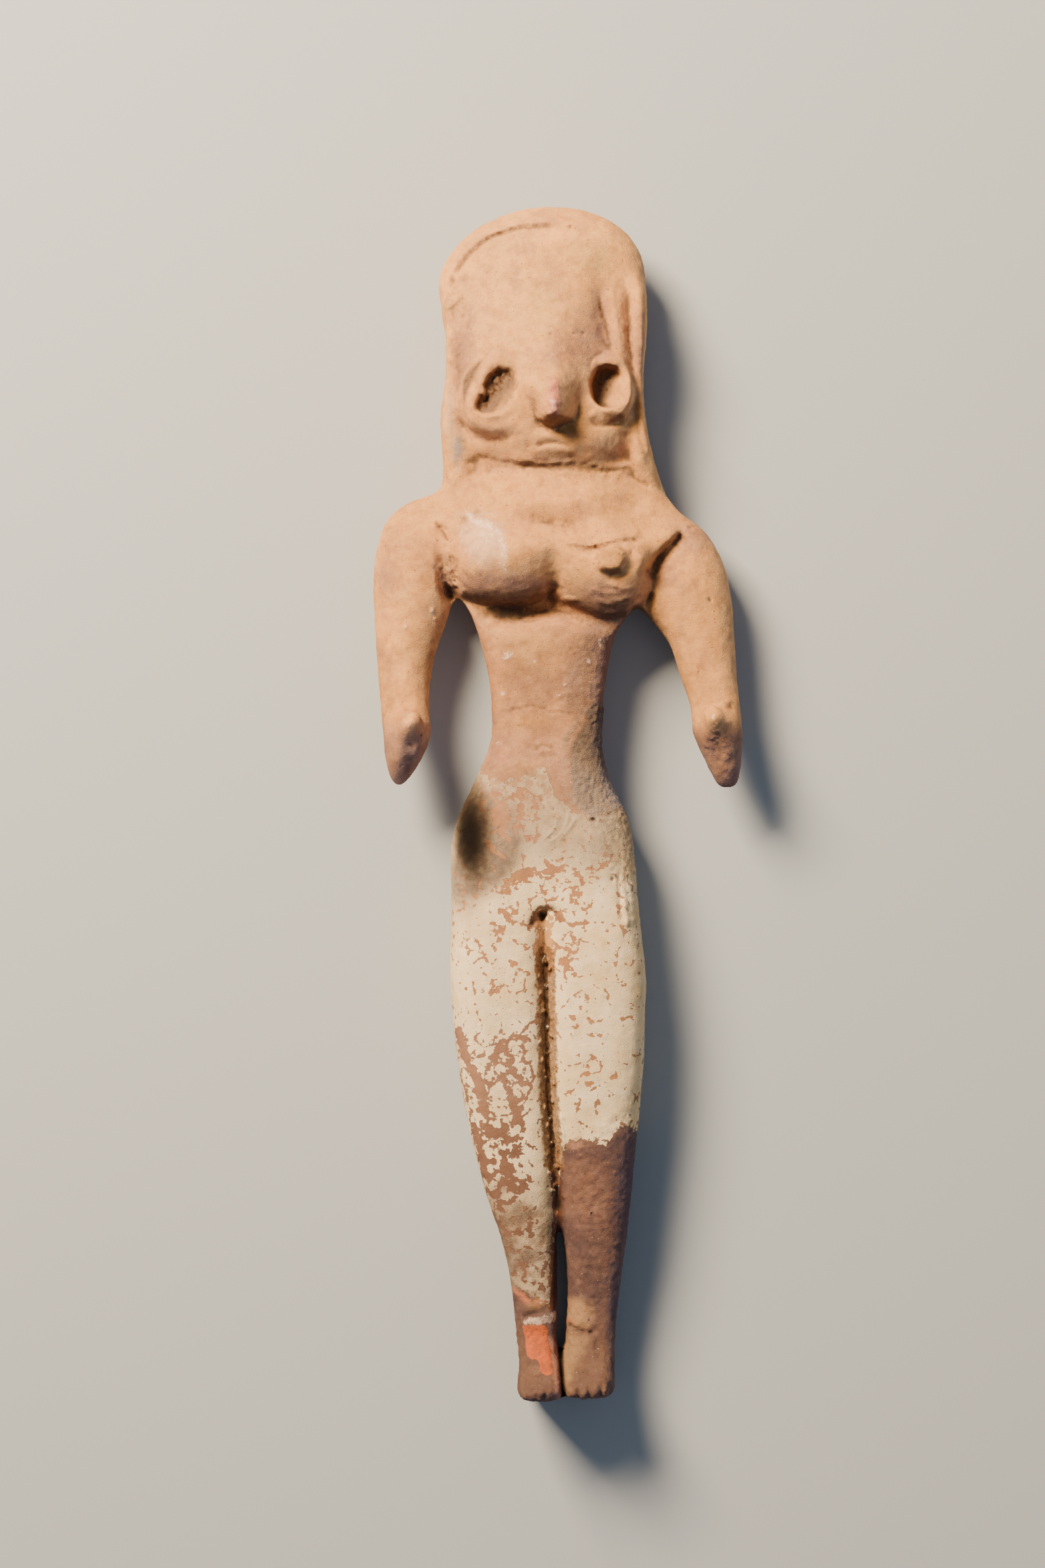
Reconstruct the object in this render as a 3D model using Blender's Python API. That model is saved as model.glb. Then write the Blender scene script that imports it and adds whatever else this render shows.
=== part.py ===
"""Terracotta fertility idol: one hand-modelled, fired clay figure that lies on its back.

The figure's length runs along +Y with the head at +Y, its width along X, and its front faces +Z.
Every limb is a stack of slices across the length. Each slice says how far the clay reaches to the
left, the right, the back and the front. The stacks and the applied lumps of clay are fused and
smoothed as wet clay is, the eyes are hollowed out, and the back is pressed flat where it rests.
All sizes are in millimetres until the last step.
"""

import math
from collections import namedtuple

import bmesh
import bpy
import numpy as np
from mathutils import Matrix, Vector

NODE = "fertility_idol"
MM = 0.001

# Driving dimensions
LENGTH = 300.0  # crown to soles
CROWN_Y = LENGTH / 2
SOLE_Y = -LENGTH / 2 + 2.0  # sole under the toes, which tip up a little from the heels
CROWN_ARCH = 20.0  # height of the rounded top of the head
HEAD_LEFT, HEAD_RIGHT = -30.2, 22.4
FACE_Z = 25.0  # front of the forehead above the resting plane
CHEST_Z = 21.0
BELLY_Z = 22.0

# How the clay is worked
RING_POINTS = 40
RING_STEP = 1.6
VOXEL = 0.75
PASSES_ALL_OVER = 10
TRIANGLES = 9400
PRESSED_FLAT = 0.8  # how deep the resting plane is pressed into the back

# Joins that are rubbed harder: where, how far around, and how many passes
JOINS = (
    ((-15.0, -21.0, 24.0), 18.0, 70),
    ((8.0, -21.0, 24.0), 18.0, 70),
    ((-15.0, -4.0, 22.0), 16.0, 50),
    ((6.0, -4.0, 22.0), 16.0, 50),
    ((-12.0, 72.0, 21.0), 13.0, 70),
    ((11.0, 70.0, 21.0), 13.0, 70),
    ((-26.0, 64.0, 18.0), 13.0, 35),
    ((24.0, 62.0, 18.0), 13.0, 35),
    ((-31.0, 74.0, 12.0), 12.0, 35),
    ((28.0, 74.0, 12.0), 12.0, 35),
    ((-27.0, 62.0, 2.0), 16.0, 50),
    ((24.0, 60.0, 2.0), 16.0, 50),
    ((0.0, 68.0, 0.0), 26.0, 50),
    ((-1.5, 112.0, 27.0), 12.0, 60),
    ((-26.0, 84.0, 16.0), 9.0, 30),
    ((25.0, 82.0, 14.0), 9.0, 30),
    ((-26.0, 118.0, 18.0), 14.0, 40),
    ((20.0, 128.0, 18.0), 14.0, 40),
    ((-13.6, -24.0, 3.0), 26.0, 70),
    ((6.6, -24.0, 3.0), 26.0, 70),
    ((-2.0, -92.0, 16.0), 12.0, 25),
    ((-2.6, -72.0, 18.0), 12.0, 25),
    ((-3.2, -52.0, 20.0), 12.0, 25),
)

Slice = namedtuple("Slice", "y left right back front")


# ---------------------------------------------------------------- slices and stacks


def smooth_through(at, known, values):
    """Values of a smooth curve through the known stations, in rising order of place."""
    known, values, at = (np.asarray(a, float) for a in (known, values, at))
    slope = np.gradient(values, known)
    i = np.clip(np.searchsorted(known, at) - 1, 0, len(known) - 2)
    span = known[i + 1] - known[i]
    t = (at - known[i]) / span
    return (
        (2 * t**3 - 3 * t**2 + 1) * values[i]
        + (t**3 - 2 * t**2 + t) * span * slope[i]
        + (3 * t**2 - 2 * t**3) * values[i + 1]
        + (t**3 - t**2) * span * slope[i + 1]
    )


def stations_between(slices):
    """The slices with more of them worked out in between, from the lowest to the highest."""
    rows = np.array(sorted(slices), float)
    count = max(3, math.ceil((rows[-1, 0] - rows[0, 0]) / RING_STEP))
    places = np.linspace(rows[0, 0], rows[-1, 0], count)
    columns = [smooth_through(places, rows[:, 0], rows[:, c]) for c in range(1, 5)]
    return [Slice(*row) for row in zip(places, *columns)]


def arched(end, height, steps=7, lean=0.0):
    """Slices that close a stack beyond its end slice with a rounded arch of that height."""
    found = []
    for k in range(1, steps):
        turn = k / steps * math.pi / 2
        share = math.cos(turn)
        middle_x = (end.left + end.right) / 2 + lean * math.sin(turn)
        middle_z = (end.back + end.front) / 2
        half_x = (end.right - end.left) / 2 * share
        half_z = (end.front - end.back) / 2 * share**0.8
        found.append(
            Slice(
                end.y + height * math.sin(turn),
                middle_x - half_x,
                middle_x + half_x,
                middle_z - half_z,
                middle_z + half_z,
            )
        )
    return found


def ring(piece, squareness_back, squareness_front):
    """The outline of one slice: an oval with squarer or rounder shoulders at back and front."""
    middle_x, half_x = (piece.left + piece.right) / 2, (piece.right - piece.left) / 2
    middle_z, half_z = (piece.back + piece.front) / 2, (piece.front - piece.back) / 2
    points = []
    for k in range(RING_POINTS):
        turn = 2 * math.pi * k / RING_POINTS
        c, s = math.cos(turn), math.sin(turn)
        power = 2 / (squareness_front if s > 0 else squareness_back)
        points.append(
            Vector(
                (
                    middle_x + half_x * math.copysign(abs(c) ** power, c),
                    piece.y,
                    middle_z + half_z * math.copysign(abs(s) ** power, s),
                )
            )
        )
    return points


def stack(clay, slices, low_arch=1.5, high_arch=1.5, back=2.3, front=2.2, lean=0.0):
    """Adds a closed stack of slices to the clay, with an arch over each end."""
    rows = stations_between(slices)
    below = [
        s._replace(y=2 * rows[0].y - s.y) for s in arched(rows[0], low_arch)
    ]
    rows = below[::-1] + rows + arched(rows[-1], high_arch, lean=lean)
    loops = [[clay.verts.new(p) for p in ring(s, back, front)] for s in rows]
    for lower, upper in zip(loops, loops[1:]):
        for k in range(RING_POINTS):
            n = (k + 1) % RING_POINTS
            clay.faces.new((lower[n], lower[k], upper[k], upper[n]))
    clay.faces.new(loops[0])
    clay.faces.new(loops[-1][::-1])


def lump(clay, at, half_sizes, tilt_deg=0.0):
    """Adds an egg-shaped lump of clay, turned in the plane of the figure's front."""
    place = (
        Matrix.Translation(at)
        @ Matrix.Rotation(math.radians(tilt_deg), 4, "Z")
        @ Matrix.Diagonal((*half_sizes, 1))
    )
    bmesh.ops.create_uvsphere(
        clay, u_segments=28, v_segments=18, radius=1.0, matrix=place
    )


# ---------------------------------------------------------------- the parts of the figure


def add_head(clay):
    """The tall slab of the head, with its rounded crown."""
    face = [
        Slice(85.2, -21.5, 16.6, 3.0, 21.0),
        Slice(88.0, -23.3, 18.0, 3.0, 23.0),
        Slice(93.0, -24.6, 19.4, 3.0, 24.2),
        Slice(100.0, -25.0, 20.0, 3.0, FACE_Z),
        Slice(108.0, -25.6, 20.4, 3.0, FACE_Z + 0.3),
        Slice(118.0, -27.4, 21.4, 2.5, FACE_Z),
        Slice(125.0, -29.2, 22.6, 2.0, FACE_Z - 1.0),
        Slice(CROWN_Y - CROWN_ARCH, HEAD_LEFT, HEAD_RIGHT, 2.0, FACE_Z - 2.0),
    ]
    stack(clay, face, low_arch=1.6, high_arch=CROWN_ARCH, back=2.6, front=2.3, lean=2.5)


def add_hair(clay):
    """The hair that hangs behind the head and spreads over the shoulders."""
    locks = [
        Slice(72.0, -25.0, 25.0, 0.0, 9.0),
        Slice(78.0, -29.0, 27.2, -0.3, 14.0),
        Slice(83.4, -28.7, 25.2, -0.6, 17.0),
        Slice(90.1, -28.9, 23.2, -0.8, 17.5),
        Slice(96.8, -29.6, 21.9, -0.8, 17.0),
        Slice(103.5, -28.7, 21.4, -0.8, 16.5),
        Slice(110.2, -27.7, 21.4, -0.8, 16.5),
        Slice(116.9, -28.2, 22.4, -0.6, 16.0),
        Slice(123.0, -29.1, 22.9, 0.2, 15.0),
        Slice(127.0, -29.3, 22.3, 1.5, 13.0),
    ]
    stack(clay, locks, low_arch=8.0, high_arch=9.0, back=3.4, front=2.4, lean=1.0)
    left_lock = [
        Slice(85.0, -28.6, -22.2, 8.0, 18.4),
        Slice(92.0, -29.2, -22.6, 8.0, 19.8),
        Slice(100.0, -29.0, -22.8, 8.0, 20.2),
        Slice(108.0, -27.9, -22.8, 8.0, 20.2),
        Slice(116.0, -28.0, -23.4, 8.0, 20.0),
    ]
    right_lock = [
        Slice(80.0, 21.2, 26.4, 6.0, 15.6),
        Slice(85.0, 17.6, 24.8, 6.0, 18.8),
        Slice(90.0, 17.9, 23.2, 7.0, 19.8),
        Slice(98.0, 18.9, 21.9, 8.0, 19.8),
        Slice(106.0, 18.2, 21.4, 8.0, 20.2),
        Slice(118.0, 17.2, 22.4, 8.0, 21.2),
        Slice(128.0, 16.4, 22.4, 8.0, 21.6),
    ]
    stack(clay, left_lock, low_arch=8.0, high_arch=8.0)
    stack(clay, right_lock, low_arch=4.0, high_arch=5.0, lean=-3.0)


def add_nose(clay):
    """The beak of a nose, pinched out of the face between two fingers."""
    ridge = [
        Slice(98.0, -5.4, 2.6, 14.0, 34.0),
        Slice(100.5, -8.0, 5.2, 12.0, 34.8),
        Slice(104.0, -10.5, 7.8, 12.0, 32.6),
        Slice(109.0, -12.0, 9.4, 12.0, 29.4),
        Slice(116.0, -13.5, 11.0, 12.0, 26.6),
    ]
    stack(clay, ridge, low_arch=0.9, high_arch=6.0, back=2.0, front=1.2)


def add_eyes(clay):
    """The clay discs pressed on for the eyes."""
    lump(clay, (-17.0, 100.4, 21.3), (7.8, 8.4, 4.8), tilt_deg=-18)
    lump(clay, (12.4, 102.6, 21.4), (5.8, 7.6, 5.4), tilt_deg=-8)


def add_mouth(clay):
    """Two short rolls of clay for the lips."""
    lump(clay, (-1.6, 91.2, 22.4), (5.2, 1.4, 2.7), tilt_deg=8)
    lump(clay, (-0.8, 88.6, 21.8), (7.0, 1.4, 2.7))


def add_torso(clay):
    """Shoulders, chest, narrow waist and broad hips, down to the fork of the legs."""
    trunk = [
        Slice(84.0, -26.0, 23.6, 1.5, 17.4),
        Slice(80.0, -28.6, 26.0, 1.2, 18.6),
        Slice(75.0, -34.5, 29.5, 1.0, CHEST_Z - 1.2),
        Slice(70.0, -38.0, 34.0, 1.0, CHEST_Z - 0.5),
        Slice(64.0, -37.5, 35.0, 1.2, CHEST_Z),
        Slice(56.0, -29.0, 27.5, 2.0, CHEST_Z),
        Slice(50.0, -22.9, 20.0, 2.8, 20.5),
        Slice(43.3, -20.2, 15.0, 3.4, 20.5),
        Slice(33.3, -17.5, 12.5, 4.0, 20.5),
        Slice(21.6, -16.4, 11.1, 4.2, 20.5),
        Slice(16.5, -16.5, 11.1, 4.0, 20.8),
        Slice(9.9, -18.9, 12.0, 3.6, 21.4),
        Slice(3.2, -22.1, 14.4, 3.0, BELLY_Z),
        Slice(-3.5, -25.2, 17.7, 2.4, BELLY_Z + 1.2),
        Slice(-10.1, -26.7, 19.2, 2.0, BELLY_Z + 2.2),
        Slice(-16.8, -26.9, 19.5, 2.0, BELLY_Z + 2.8),
        Slice(-23.0, -25.6, 18.4, 2.4, BELLY_Z + 2.6),
    ]
    stack(clay, trunk, low_arch=6.0, high_arch=4.0, back=2.5, front=2.6)


def add_bosom(clay):
    """Two breasts that hang from the chest, and the pellet that is left on one of them."""
    left = [
        Slice(52.6, -19.0, -4.0, 12.0, 23.4),
        Slice(55.0, -22.2, -1.6, 10.0, 27.0),
        Slice(59.0, -23.6, -0.8, 9.0, 28.4),
        Slice(63.0, -23.8, -1.0, 9.0, 27.2),
        Slice(68.0, -22.6, -2.0, 9.0, 24.2),
        Slice(74.0, -19.0, -5.0, 9.0, 21.2),
    ]
    right = [
        Slice(49.6, 5.5, 18.0, 12.0, 22.8),
        Slice(52.0, 2.2, 21.0, 10.0, 26.6),
        Slice(56.0, 0.6, 22.6, 9.0, 28.0),
        Slice(61.0, 0.2, 22.8, 9.0, 27.0),
        Slice(66.0, 1.2, 21.0, 9.0, 24.4),
        Slice(72.0, 4.2, 17.6, 9.0, 21.2),
    ]
    for slices in (left, right):
        stack(clay, slices, low_arch=2.0, high_arch=3.0, front=2.0)
    lump(clay, (13.8, 61.2, 26.8), (4.0, 3.4, 2.6), tilt_deg=20)


def add_seat(clay):
    """The two low swellings of the seat, on the back."""
    for side_x in (-13.6, 6.4):
        lump(clay, (side_x, -16.0, 12.0), (12.0, 21.0, 13.6))


def add_arms(clay):
    """Short arms held off the body, each with a mitten of a hand and a raised thumb."""
    left = [
        Slice(5.6, -41.7, -37.6, 13.5, 18.5),
        Slice(9.9, -42.8, -34.6, 11.5, 21.8),
        Slice(13.2, -43.3, -32.8, 10.0, 23.6),
        Slice(18.0, -43.6, -31.3, 8.4, 24.6),
        Slice(21.5, -44.0, -31.8, 7.6, 22.6),
        Slice(26.6, -44.6, -32.1, 6.4, 19.4),
        Slice(33.3, -45.1, -31.4, 5.2, 18.4),
        Slice(40.0, -45.6, -29.9, 4.2, 18.4),
        Slice(46.6, -45.9, -27.4, 3.4, 18.8),
        Slice(56.7, -46.3, -24.8, 2.6, 19.4),
        Slice(63.4, -45.6, -24.0, 2.6, 19.4),
        Slice(70.1, -43.8, -27.0, 3.4, 17.8),
    ]
    right = [
        Slice(5.6, 39.2, 45.5, 13.5, 18.5),
        Slice(9.9, 37.1, 46.0, 11.5, 21.8),
        Slice(13.2, 35.6, 46.1, 10.0, 23.6),
        Slice(18.0, 33.6, 46.2, 8.4, 24.6),
        Slice(22.0, 33.4, 45.9, 7.6, 22.6),
        Slice(26.6, 32.6, 45.6, 6.4, 19.4),
        Slice(33.3, 30.2, 45.1, 5.2, 18.4),
        Slice(40.0, 28.1, 44.6, 4.2, 18.4),
        Slice(46.6, 23.1, 44.3, 3.4, 18.8),
        Slice(50.0, 20.4, 44.1, 3.0, 19.2),
        Slice(54.0, 20.6, 43.5, 2.6, 19.4),
        Slice(60.0, 22.0, 41.9, 2.6, 19.4),
        Slice(66.0, 24.0, 39.2, 3.4, 17.8),
    ]
    stack(clay, left, low_arch=1.2, high_arch=7.5, back=2.1, front=2.0, lean=4.0)
    stack(clay, right, low_arch=1.8, high_arch=8.0, back=2.1, front=2.0, lean=-5.0)
    lump(clay, (-36.4, 19.6, 23.6), (2.8, 4.2, 3.8), tilt_deg=-20)
    lump(clay, (38.8, 21.0, 23.6), (2.9, 4.2, 3.8), tilt_deg=20)


def add_legs(clay):
    """Two full legs that run together down to the calves, and then stand a little apart."""
    left = [
        Slice(SOLE_Y + 1.2, -10.3, 1.9, 3.0, 27.0),
        Slice(-143.8, -9.9, 1.9, 1.0, 27.0),
        Slice(-140.5, -9.4, 1.0, 0.4, 23.0),
        Slice(-137.1, -9.7, 0.3, 0.8, 19.8),
        Slice(-133.8, -10.1, -0.2, 2.0, 17.8),
        Slice(-127.1, -10.8, 0.2, 3.6, 16.8),
        Slice(-120.4, -11.5, 0.0, 3.8, 17.4),
        Slice(-113.7, -12.8, -0.2, 3.4, 18.6),
        Slice(-107.1, -14.5, -0.3, 2.6, 19.8),
        Slice(-100.4, -16.9, 0.2, 2.2, 21.0),
        Slice(-93.7, -18.9, 1.2, 1.8, 22.0),
        Slice(-80.4, -22.1, 0.8, 1.6, 23.4),
        Slice(-67.0, -24.6, 0.0, 1.6, 24.6),
        Slice(-53.6, -26.1, -0.8, 1.7, 25.4),
        Slice(-40.2, -27.0, -1.6, 1.8, 25.6),
        Slice(-30.0, -26.6, -1.8, 1.8, 25.5),
        Slice(-20.0, -26.6, -1.9, 1.9, 24.9),
        Slice(-12.0, -26.2, -1.9, 2.2, 23.4),
    ]
    right = [
        Slice(SOLE_Y + 1.8, 1.6, 14.3, 3.0, 27.0),
        Slice(-143.8, 1.6, 14.4, 1.0, 27.0),
        Slice(-140.5, 1.4, 14.4, 0.4, 23.0),
        Slice(-137.1, 1.7, 14.4, 0.8, 19.8),
        Slice(-133.8, 2.0, 14.4, 2.0, 17.8),
        Slice(-127.1, 2.4, 14.9, 3.6, 16.8),
        Slice(-120.4, 2.6, 15.7, 3.8, 17.4),
        Slice(-113.7, 2.3, 16.7, 3.4, 18.6),
        Slice(-107.1, 1.4, 17.5, 2.6, 19.8),
        Slice(-100.4, 0.0, 18.2, 2.2, 21.0),
        Slice(-93.7, -1.6, 18.9, 1.8, 22.0),
        Slice(-80.4, -2.9, 20.1, 1.6, 23.4),
        Slice(-67.0, -4.0, 21.4, 1.6, 24.6),
        Slice(-53.6, -4.8, 21.9, 1.7, 25.4),
        Slice(-40.2, -5.6, 22.1, 1.8, 25.6),
        Slice(-30.0, -5.8, 20.6, 1.8, 25.5),
        Slice(-20.0, -5.9, 19.6, 1.9, 24.9),
        Slice(-12.0, -5.9, 19.2, 2.2, 23.4),
    ]
    for slices in (left, right):
        stack(clay, slices, low_arch=1.2, high_arch=6.0, back=2.5, front=3.1)
    web = [
        Slice(-98.0, -1.4, 1.8, 7.0, 14.0),
        Slice(-90.0, -2.4, 1.6, 6.0, 15.5),
        Slice(-60.0, -4.4, 0.4, 6.0, 18.0),
        Slice(-34.0, -6.0, -1.0, 6.0, 19.5),
    ]
    stack(clay, web)
    for heel_x in (-4.2, 8.0):
        lump(clay, (heel_x, SOLE_Y + 3.5, 6.2), (5.8, 5.5, 7.4))


def eye_hollows():
    """The two sockets poked through the discs, as one cutter."""
    hollow = bmesh.new()
    lump(hollow, (-15.5, 104.4, 27.0), (4.4, 6.6, 8.0), tilt_deg=-40)
    lump(hollow, (10.8, 105.0, 27.5), (3.0, 4.8, 9.5), tilt_deg=-12)
    lump(hollow, (13.6, 103.2, 29.0), (4.3, 5.6, 5.6), tilt_deg=-12)
    return hollow


# ---------------------------------------------------------------- from lumps to one fired figure


def object_of(name, clay):
    mesh = bpy.data.meshes.new(name)
    clay.to_mesh(mesh)
    clay.free()
    made = bpy.data.objects.new(name, mesh)
    bpy.context.scene.collection.objects.link(made)
    return made


def shaped(obj):
    """The object's mesh as its modifiers leave it, in place of its own."""
    graph = bpy.context.evaluated_depsgraph_get()
    mesh = bpy.data.meshes.new_from_object(obj.evaluated_get(graph))
    obj.modifiers.clear()
    obj.data = mesh
    return mesh


def fuse(figure):
    """Presses the lumps into one body and rubs all of it a little."""
    fused = figure.modifiers.new("fused", "REMESH")
    fused.mode = "VOXEL"
    fused.voxel_size = VOXEL
    shaped(figure)
    rubbed = figure.modifiers.new("rubbed", "SMOOTH")
    rubbed.iterations = PASSES_ALL_OVER
    shaped(figure)


def rub_joins(figure):
    """Rubs each join harder, until the lumps on both sides run into each other."""
    corners = np.array([v.co for v in figure.data.vertices])
    for number, (at, reach, passes) in enumerate(JOINS):
        away = np.linalg.norm(corners - np.array(at), axis=1)
        strength = np.clip(1.6 * (1 - away / reach), 0, 1)
        group = figure.vertex_groups.new(name=f"join_{number}")
        for index in np.flatnonzero(strength):
            group.add([int(index)], float(strength[index]), "REPLACE")
        rubbed = figure.modifiers.new(group.name, "SMOOTH")
        rubbed.iterations = passes
        rubbed.vertex_group = group.name
    shaped(figure)
    figure.vertex_groups.clear()


def hollow_out(figure, cutter):
    cut = figure.modifiers.new("sockets", "BOOLEAN")
    cut.operation = "DIFFERENCE"
    cut.solver = "EXACT"
    cut.use_self = True
    cut.object = cutter


def thin_out(figure):
    """Leaves fewer and larger triangles where the surface is plain."""
    mesh = shaped(figure)
    mesh.calc_loop_triangles()
    fewer = figure.modifiers.new("fewer", "DECIMATE")
    fewer.ratio = TRIANGLES / len(mesh.loop_triangles)
    shaped(figure)


def press_flat(figure):
    """Cuts the back flat at the resting plane, and fills the cut."""
    clay = bmesh.new()
    clay.from_mesh(figure.data)
    lowest = min(v.co.z for v in clay.verts)
    cut = bmesh.ops.bisect_plane(
        clay,
        geom=clay.verts[:] + clay.edges[:] + clay.faces[:],
        dist=1e-4,
        plane_co=(0, 0, lowest + PRESSED_FLAT),
        plane_no=(0, 0, -1),
        clear_outer=True,
    )
    rims = [e for e in cut["geom_cut"] if isinstance(e, bmesh.types.BMEdge)]
    bmesh.ops.holes_fill(clay, edges=rims, sides=0)
    bmesh.ops.triangulate(clay, faces=clay.faces[:])
    clay.to_mesh(figure.data)
    clay.free()


def set_down(figure):
    """Brings the figure to its exact length, in metres, and centres it over the origin."""
    corners = np.array([v.co for v in figure.data.vertices])
    low, high = corners.min(axis=0), corners.max(axis=0)
    middle = Vector(((low[0] + high[0]) / 2, (low[1] + high[1]) / 2, low[2]))
    to_length = LENGTH * MM / (high[1] - low[1])
    figure.data.transform(Matrix.Scale(to_length, 4) @ Matrix.Translation(-middle))


def fired_clay():
    """Pinkish buff terracotta, unglazed."""
    clay = bpy.data.materials.new("terracotta")
    clay.use_nodes = True
    shader = clay.node_tree.nodes["Principled BSDF"]
    shader.inputs["Base Color"].default_value = (0.62, 0.41, 0.28, 1)
    shader.inputs["Roughness"].default_value = 0.85
    shader.inputs["Metallic"].default_value = 0.0
    return clay


def build():
    for obj in list(bpy.data.objects):
        bpy.data.objects.remove(obj)
    clay = bmesh.new()
    for add in (
        add_head,
        add_hair,
        add_nose,
        add_eyes,
        add_mouth,
        add_torso,
        add_bosom,
        add_seat,
        add_arms,
        add_legs,
    ):
        add(clay)
    figure = object_of(NODE, clay)
    sockets = object_of("socket_cutter", eye_hollows())
    sockets.hide_render = True
    sockets.display_type = "WIRE"
    fuse(figure)
    rub_joins(figure)
    hollow_out(figure, sockets)
    thin_out(figure)
    press_flat(figure)
    set_down(figure)
    bpy.data.objects.remove(sockets)
    figure.data.materials.clear()
    figure.data.materials.append(fired_clay())
    figure.data.shade_smooth()


build()
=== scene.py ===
import math

import bpy
import numpy as np
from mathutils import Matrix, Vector, noise


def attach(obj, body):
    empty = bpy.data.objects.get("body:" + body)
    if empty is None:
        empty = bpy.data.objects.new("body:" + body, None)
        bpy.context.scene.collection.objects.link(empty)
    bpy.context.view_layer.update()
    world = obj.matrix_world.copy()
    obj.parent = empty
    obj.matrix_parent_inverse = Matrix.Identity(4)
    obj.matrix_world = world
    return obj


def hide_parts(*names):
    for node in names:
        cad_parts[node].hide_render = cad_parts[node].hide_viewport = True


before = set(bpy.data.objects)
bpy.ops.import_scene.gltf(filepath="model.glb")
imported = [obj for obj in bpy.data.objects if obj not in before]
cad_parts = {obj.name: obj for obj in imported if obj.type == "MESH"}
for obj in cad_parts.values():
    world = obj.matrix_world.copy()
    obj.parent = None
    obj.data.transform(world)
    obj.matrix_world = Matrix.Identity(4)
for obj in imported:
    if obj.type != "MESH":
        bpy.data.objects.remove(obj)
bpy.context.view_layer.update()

# The figure lies on its back: its length along Y with the head at +Y, its front facing +Z.
# Everything that is modelled below is in millimetres, and MM brings it to metres. Left and right
# are as seen by someone who faces the figure.

MM = 0.001

PIECE = "idol_surface"
FACE_SIZE = 0.42  # side of the small even faces that the clay is worked in
MERGE_WITHIN = 0.01
MOST_TRIANGLES = 194000
OUT_OF_REACH = -0.2  # how far round the side a surface has to face before the tools miss it
EVENING = 30  # rounds of smoothing on the clay as it is taken over
SETTLING = 5  # and on the broad shapes, once they are pushed in
RELIEF_DEPTH = 0.22  # how deep the finest relief is, which is in the finish

EYE_PLACE = (-0.0087, 0.0054, 0.942)
FLOOR_SIDE = 6
FLOOR_COLOUR = (0.43, 0.46, 0.51, 1)


def eased(value, low, high):
    """0 at low, 1 at high, and a smooth slope between the two."""
    t = np.clip((value - low) / (high - low), 0, 1)
    return t * t * (3 - 2 * t)


def bell(share):
    return np.exp(-share * share)


def each(tool, rows, **same):
    """Uses one tool on row after row, with the settings that all the rows share."""
    for row in rows:
        tool(*row, **same)


# ---------------------------------------------------------------- taking over the CAD clay


def deselect_all():
    bpy.ops.object.select_all(action="DESELECT")


def applied(piece, kind, **settings):
    """Adds one modifier with its settings to the piece and applies it."""
    bpy.context.view_layer.objects.active = piece
    modifier = piece.modifiers.new(kind.lower(), kind)
    for key, value in settings.items():
        setattr(modifier, key, value)
    bpy.ops.object.modifier_apply(modifier=modifier.name)


def evened(piece, rounds):
    """Lays the clay out in small even faces and smooths it."""
    applied(piece, "REMESH", mode="VOXEL", voxel_size=FACE_SIZE * MM)
    applied(piece, "SMOOTH", factor=0.5, iterations=rounds)


def carried_over(node):
    """A copy of the CAD clay with its loose triangles joined, rounded and evened."""
    deselect_all()
    piece = bpy.data.objects.new(PIECE, node.data.copy())
    bpy.context.scene.collection.objects.link(piece)
    bpy.context.view_layer.objects.active = piece
    piece.select_set(True)
    bpy.ops.object.mode_set(mode="EDIT")
    bpy.ops.mesh.select_all(action="SELECT")
    bpy.ops.mesh.remove_doubles(threshold=MERGE_WITHIN * MM)
    bpy.ops.mesh.tris_convert_to_quads()
    bpy.ops.object.mode_set(mode="OBJECT")
    applied(piece, "SUBSURF", levels=1, render_levels=1)
    evened(piece, EVENING)
    return piece


# ---------------------------------------------------------------- hand tools


def drawn(path, steps=6):
    """A smooth line through the points of a path, as many short straight lengths."""
    known = np.array(path, float)
    ends = np.vstack([2 * known[0] - known[1], known, 2 * known[-1] - known[-2]])
    line = []
    for a, b, c, d in zip(ends, ends[1:], ends[2:], ends[3:]):
        for t in np.arange(steps) / steps:
            line.append(0.5 * (2 * b + (c - a) * t + (2 * a - 5 * b + 4 * c - d) * t**2
                               + (3 * b - a - 3 * c + d) * t**3))
    line.append(known[-1])
    return np.array(line)


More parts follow.
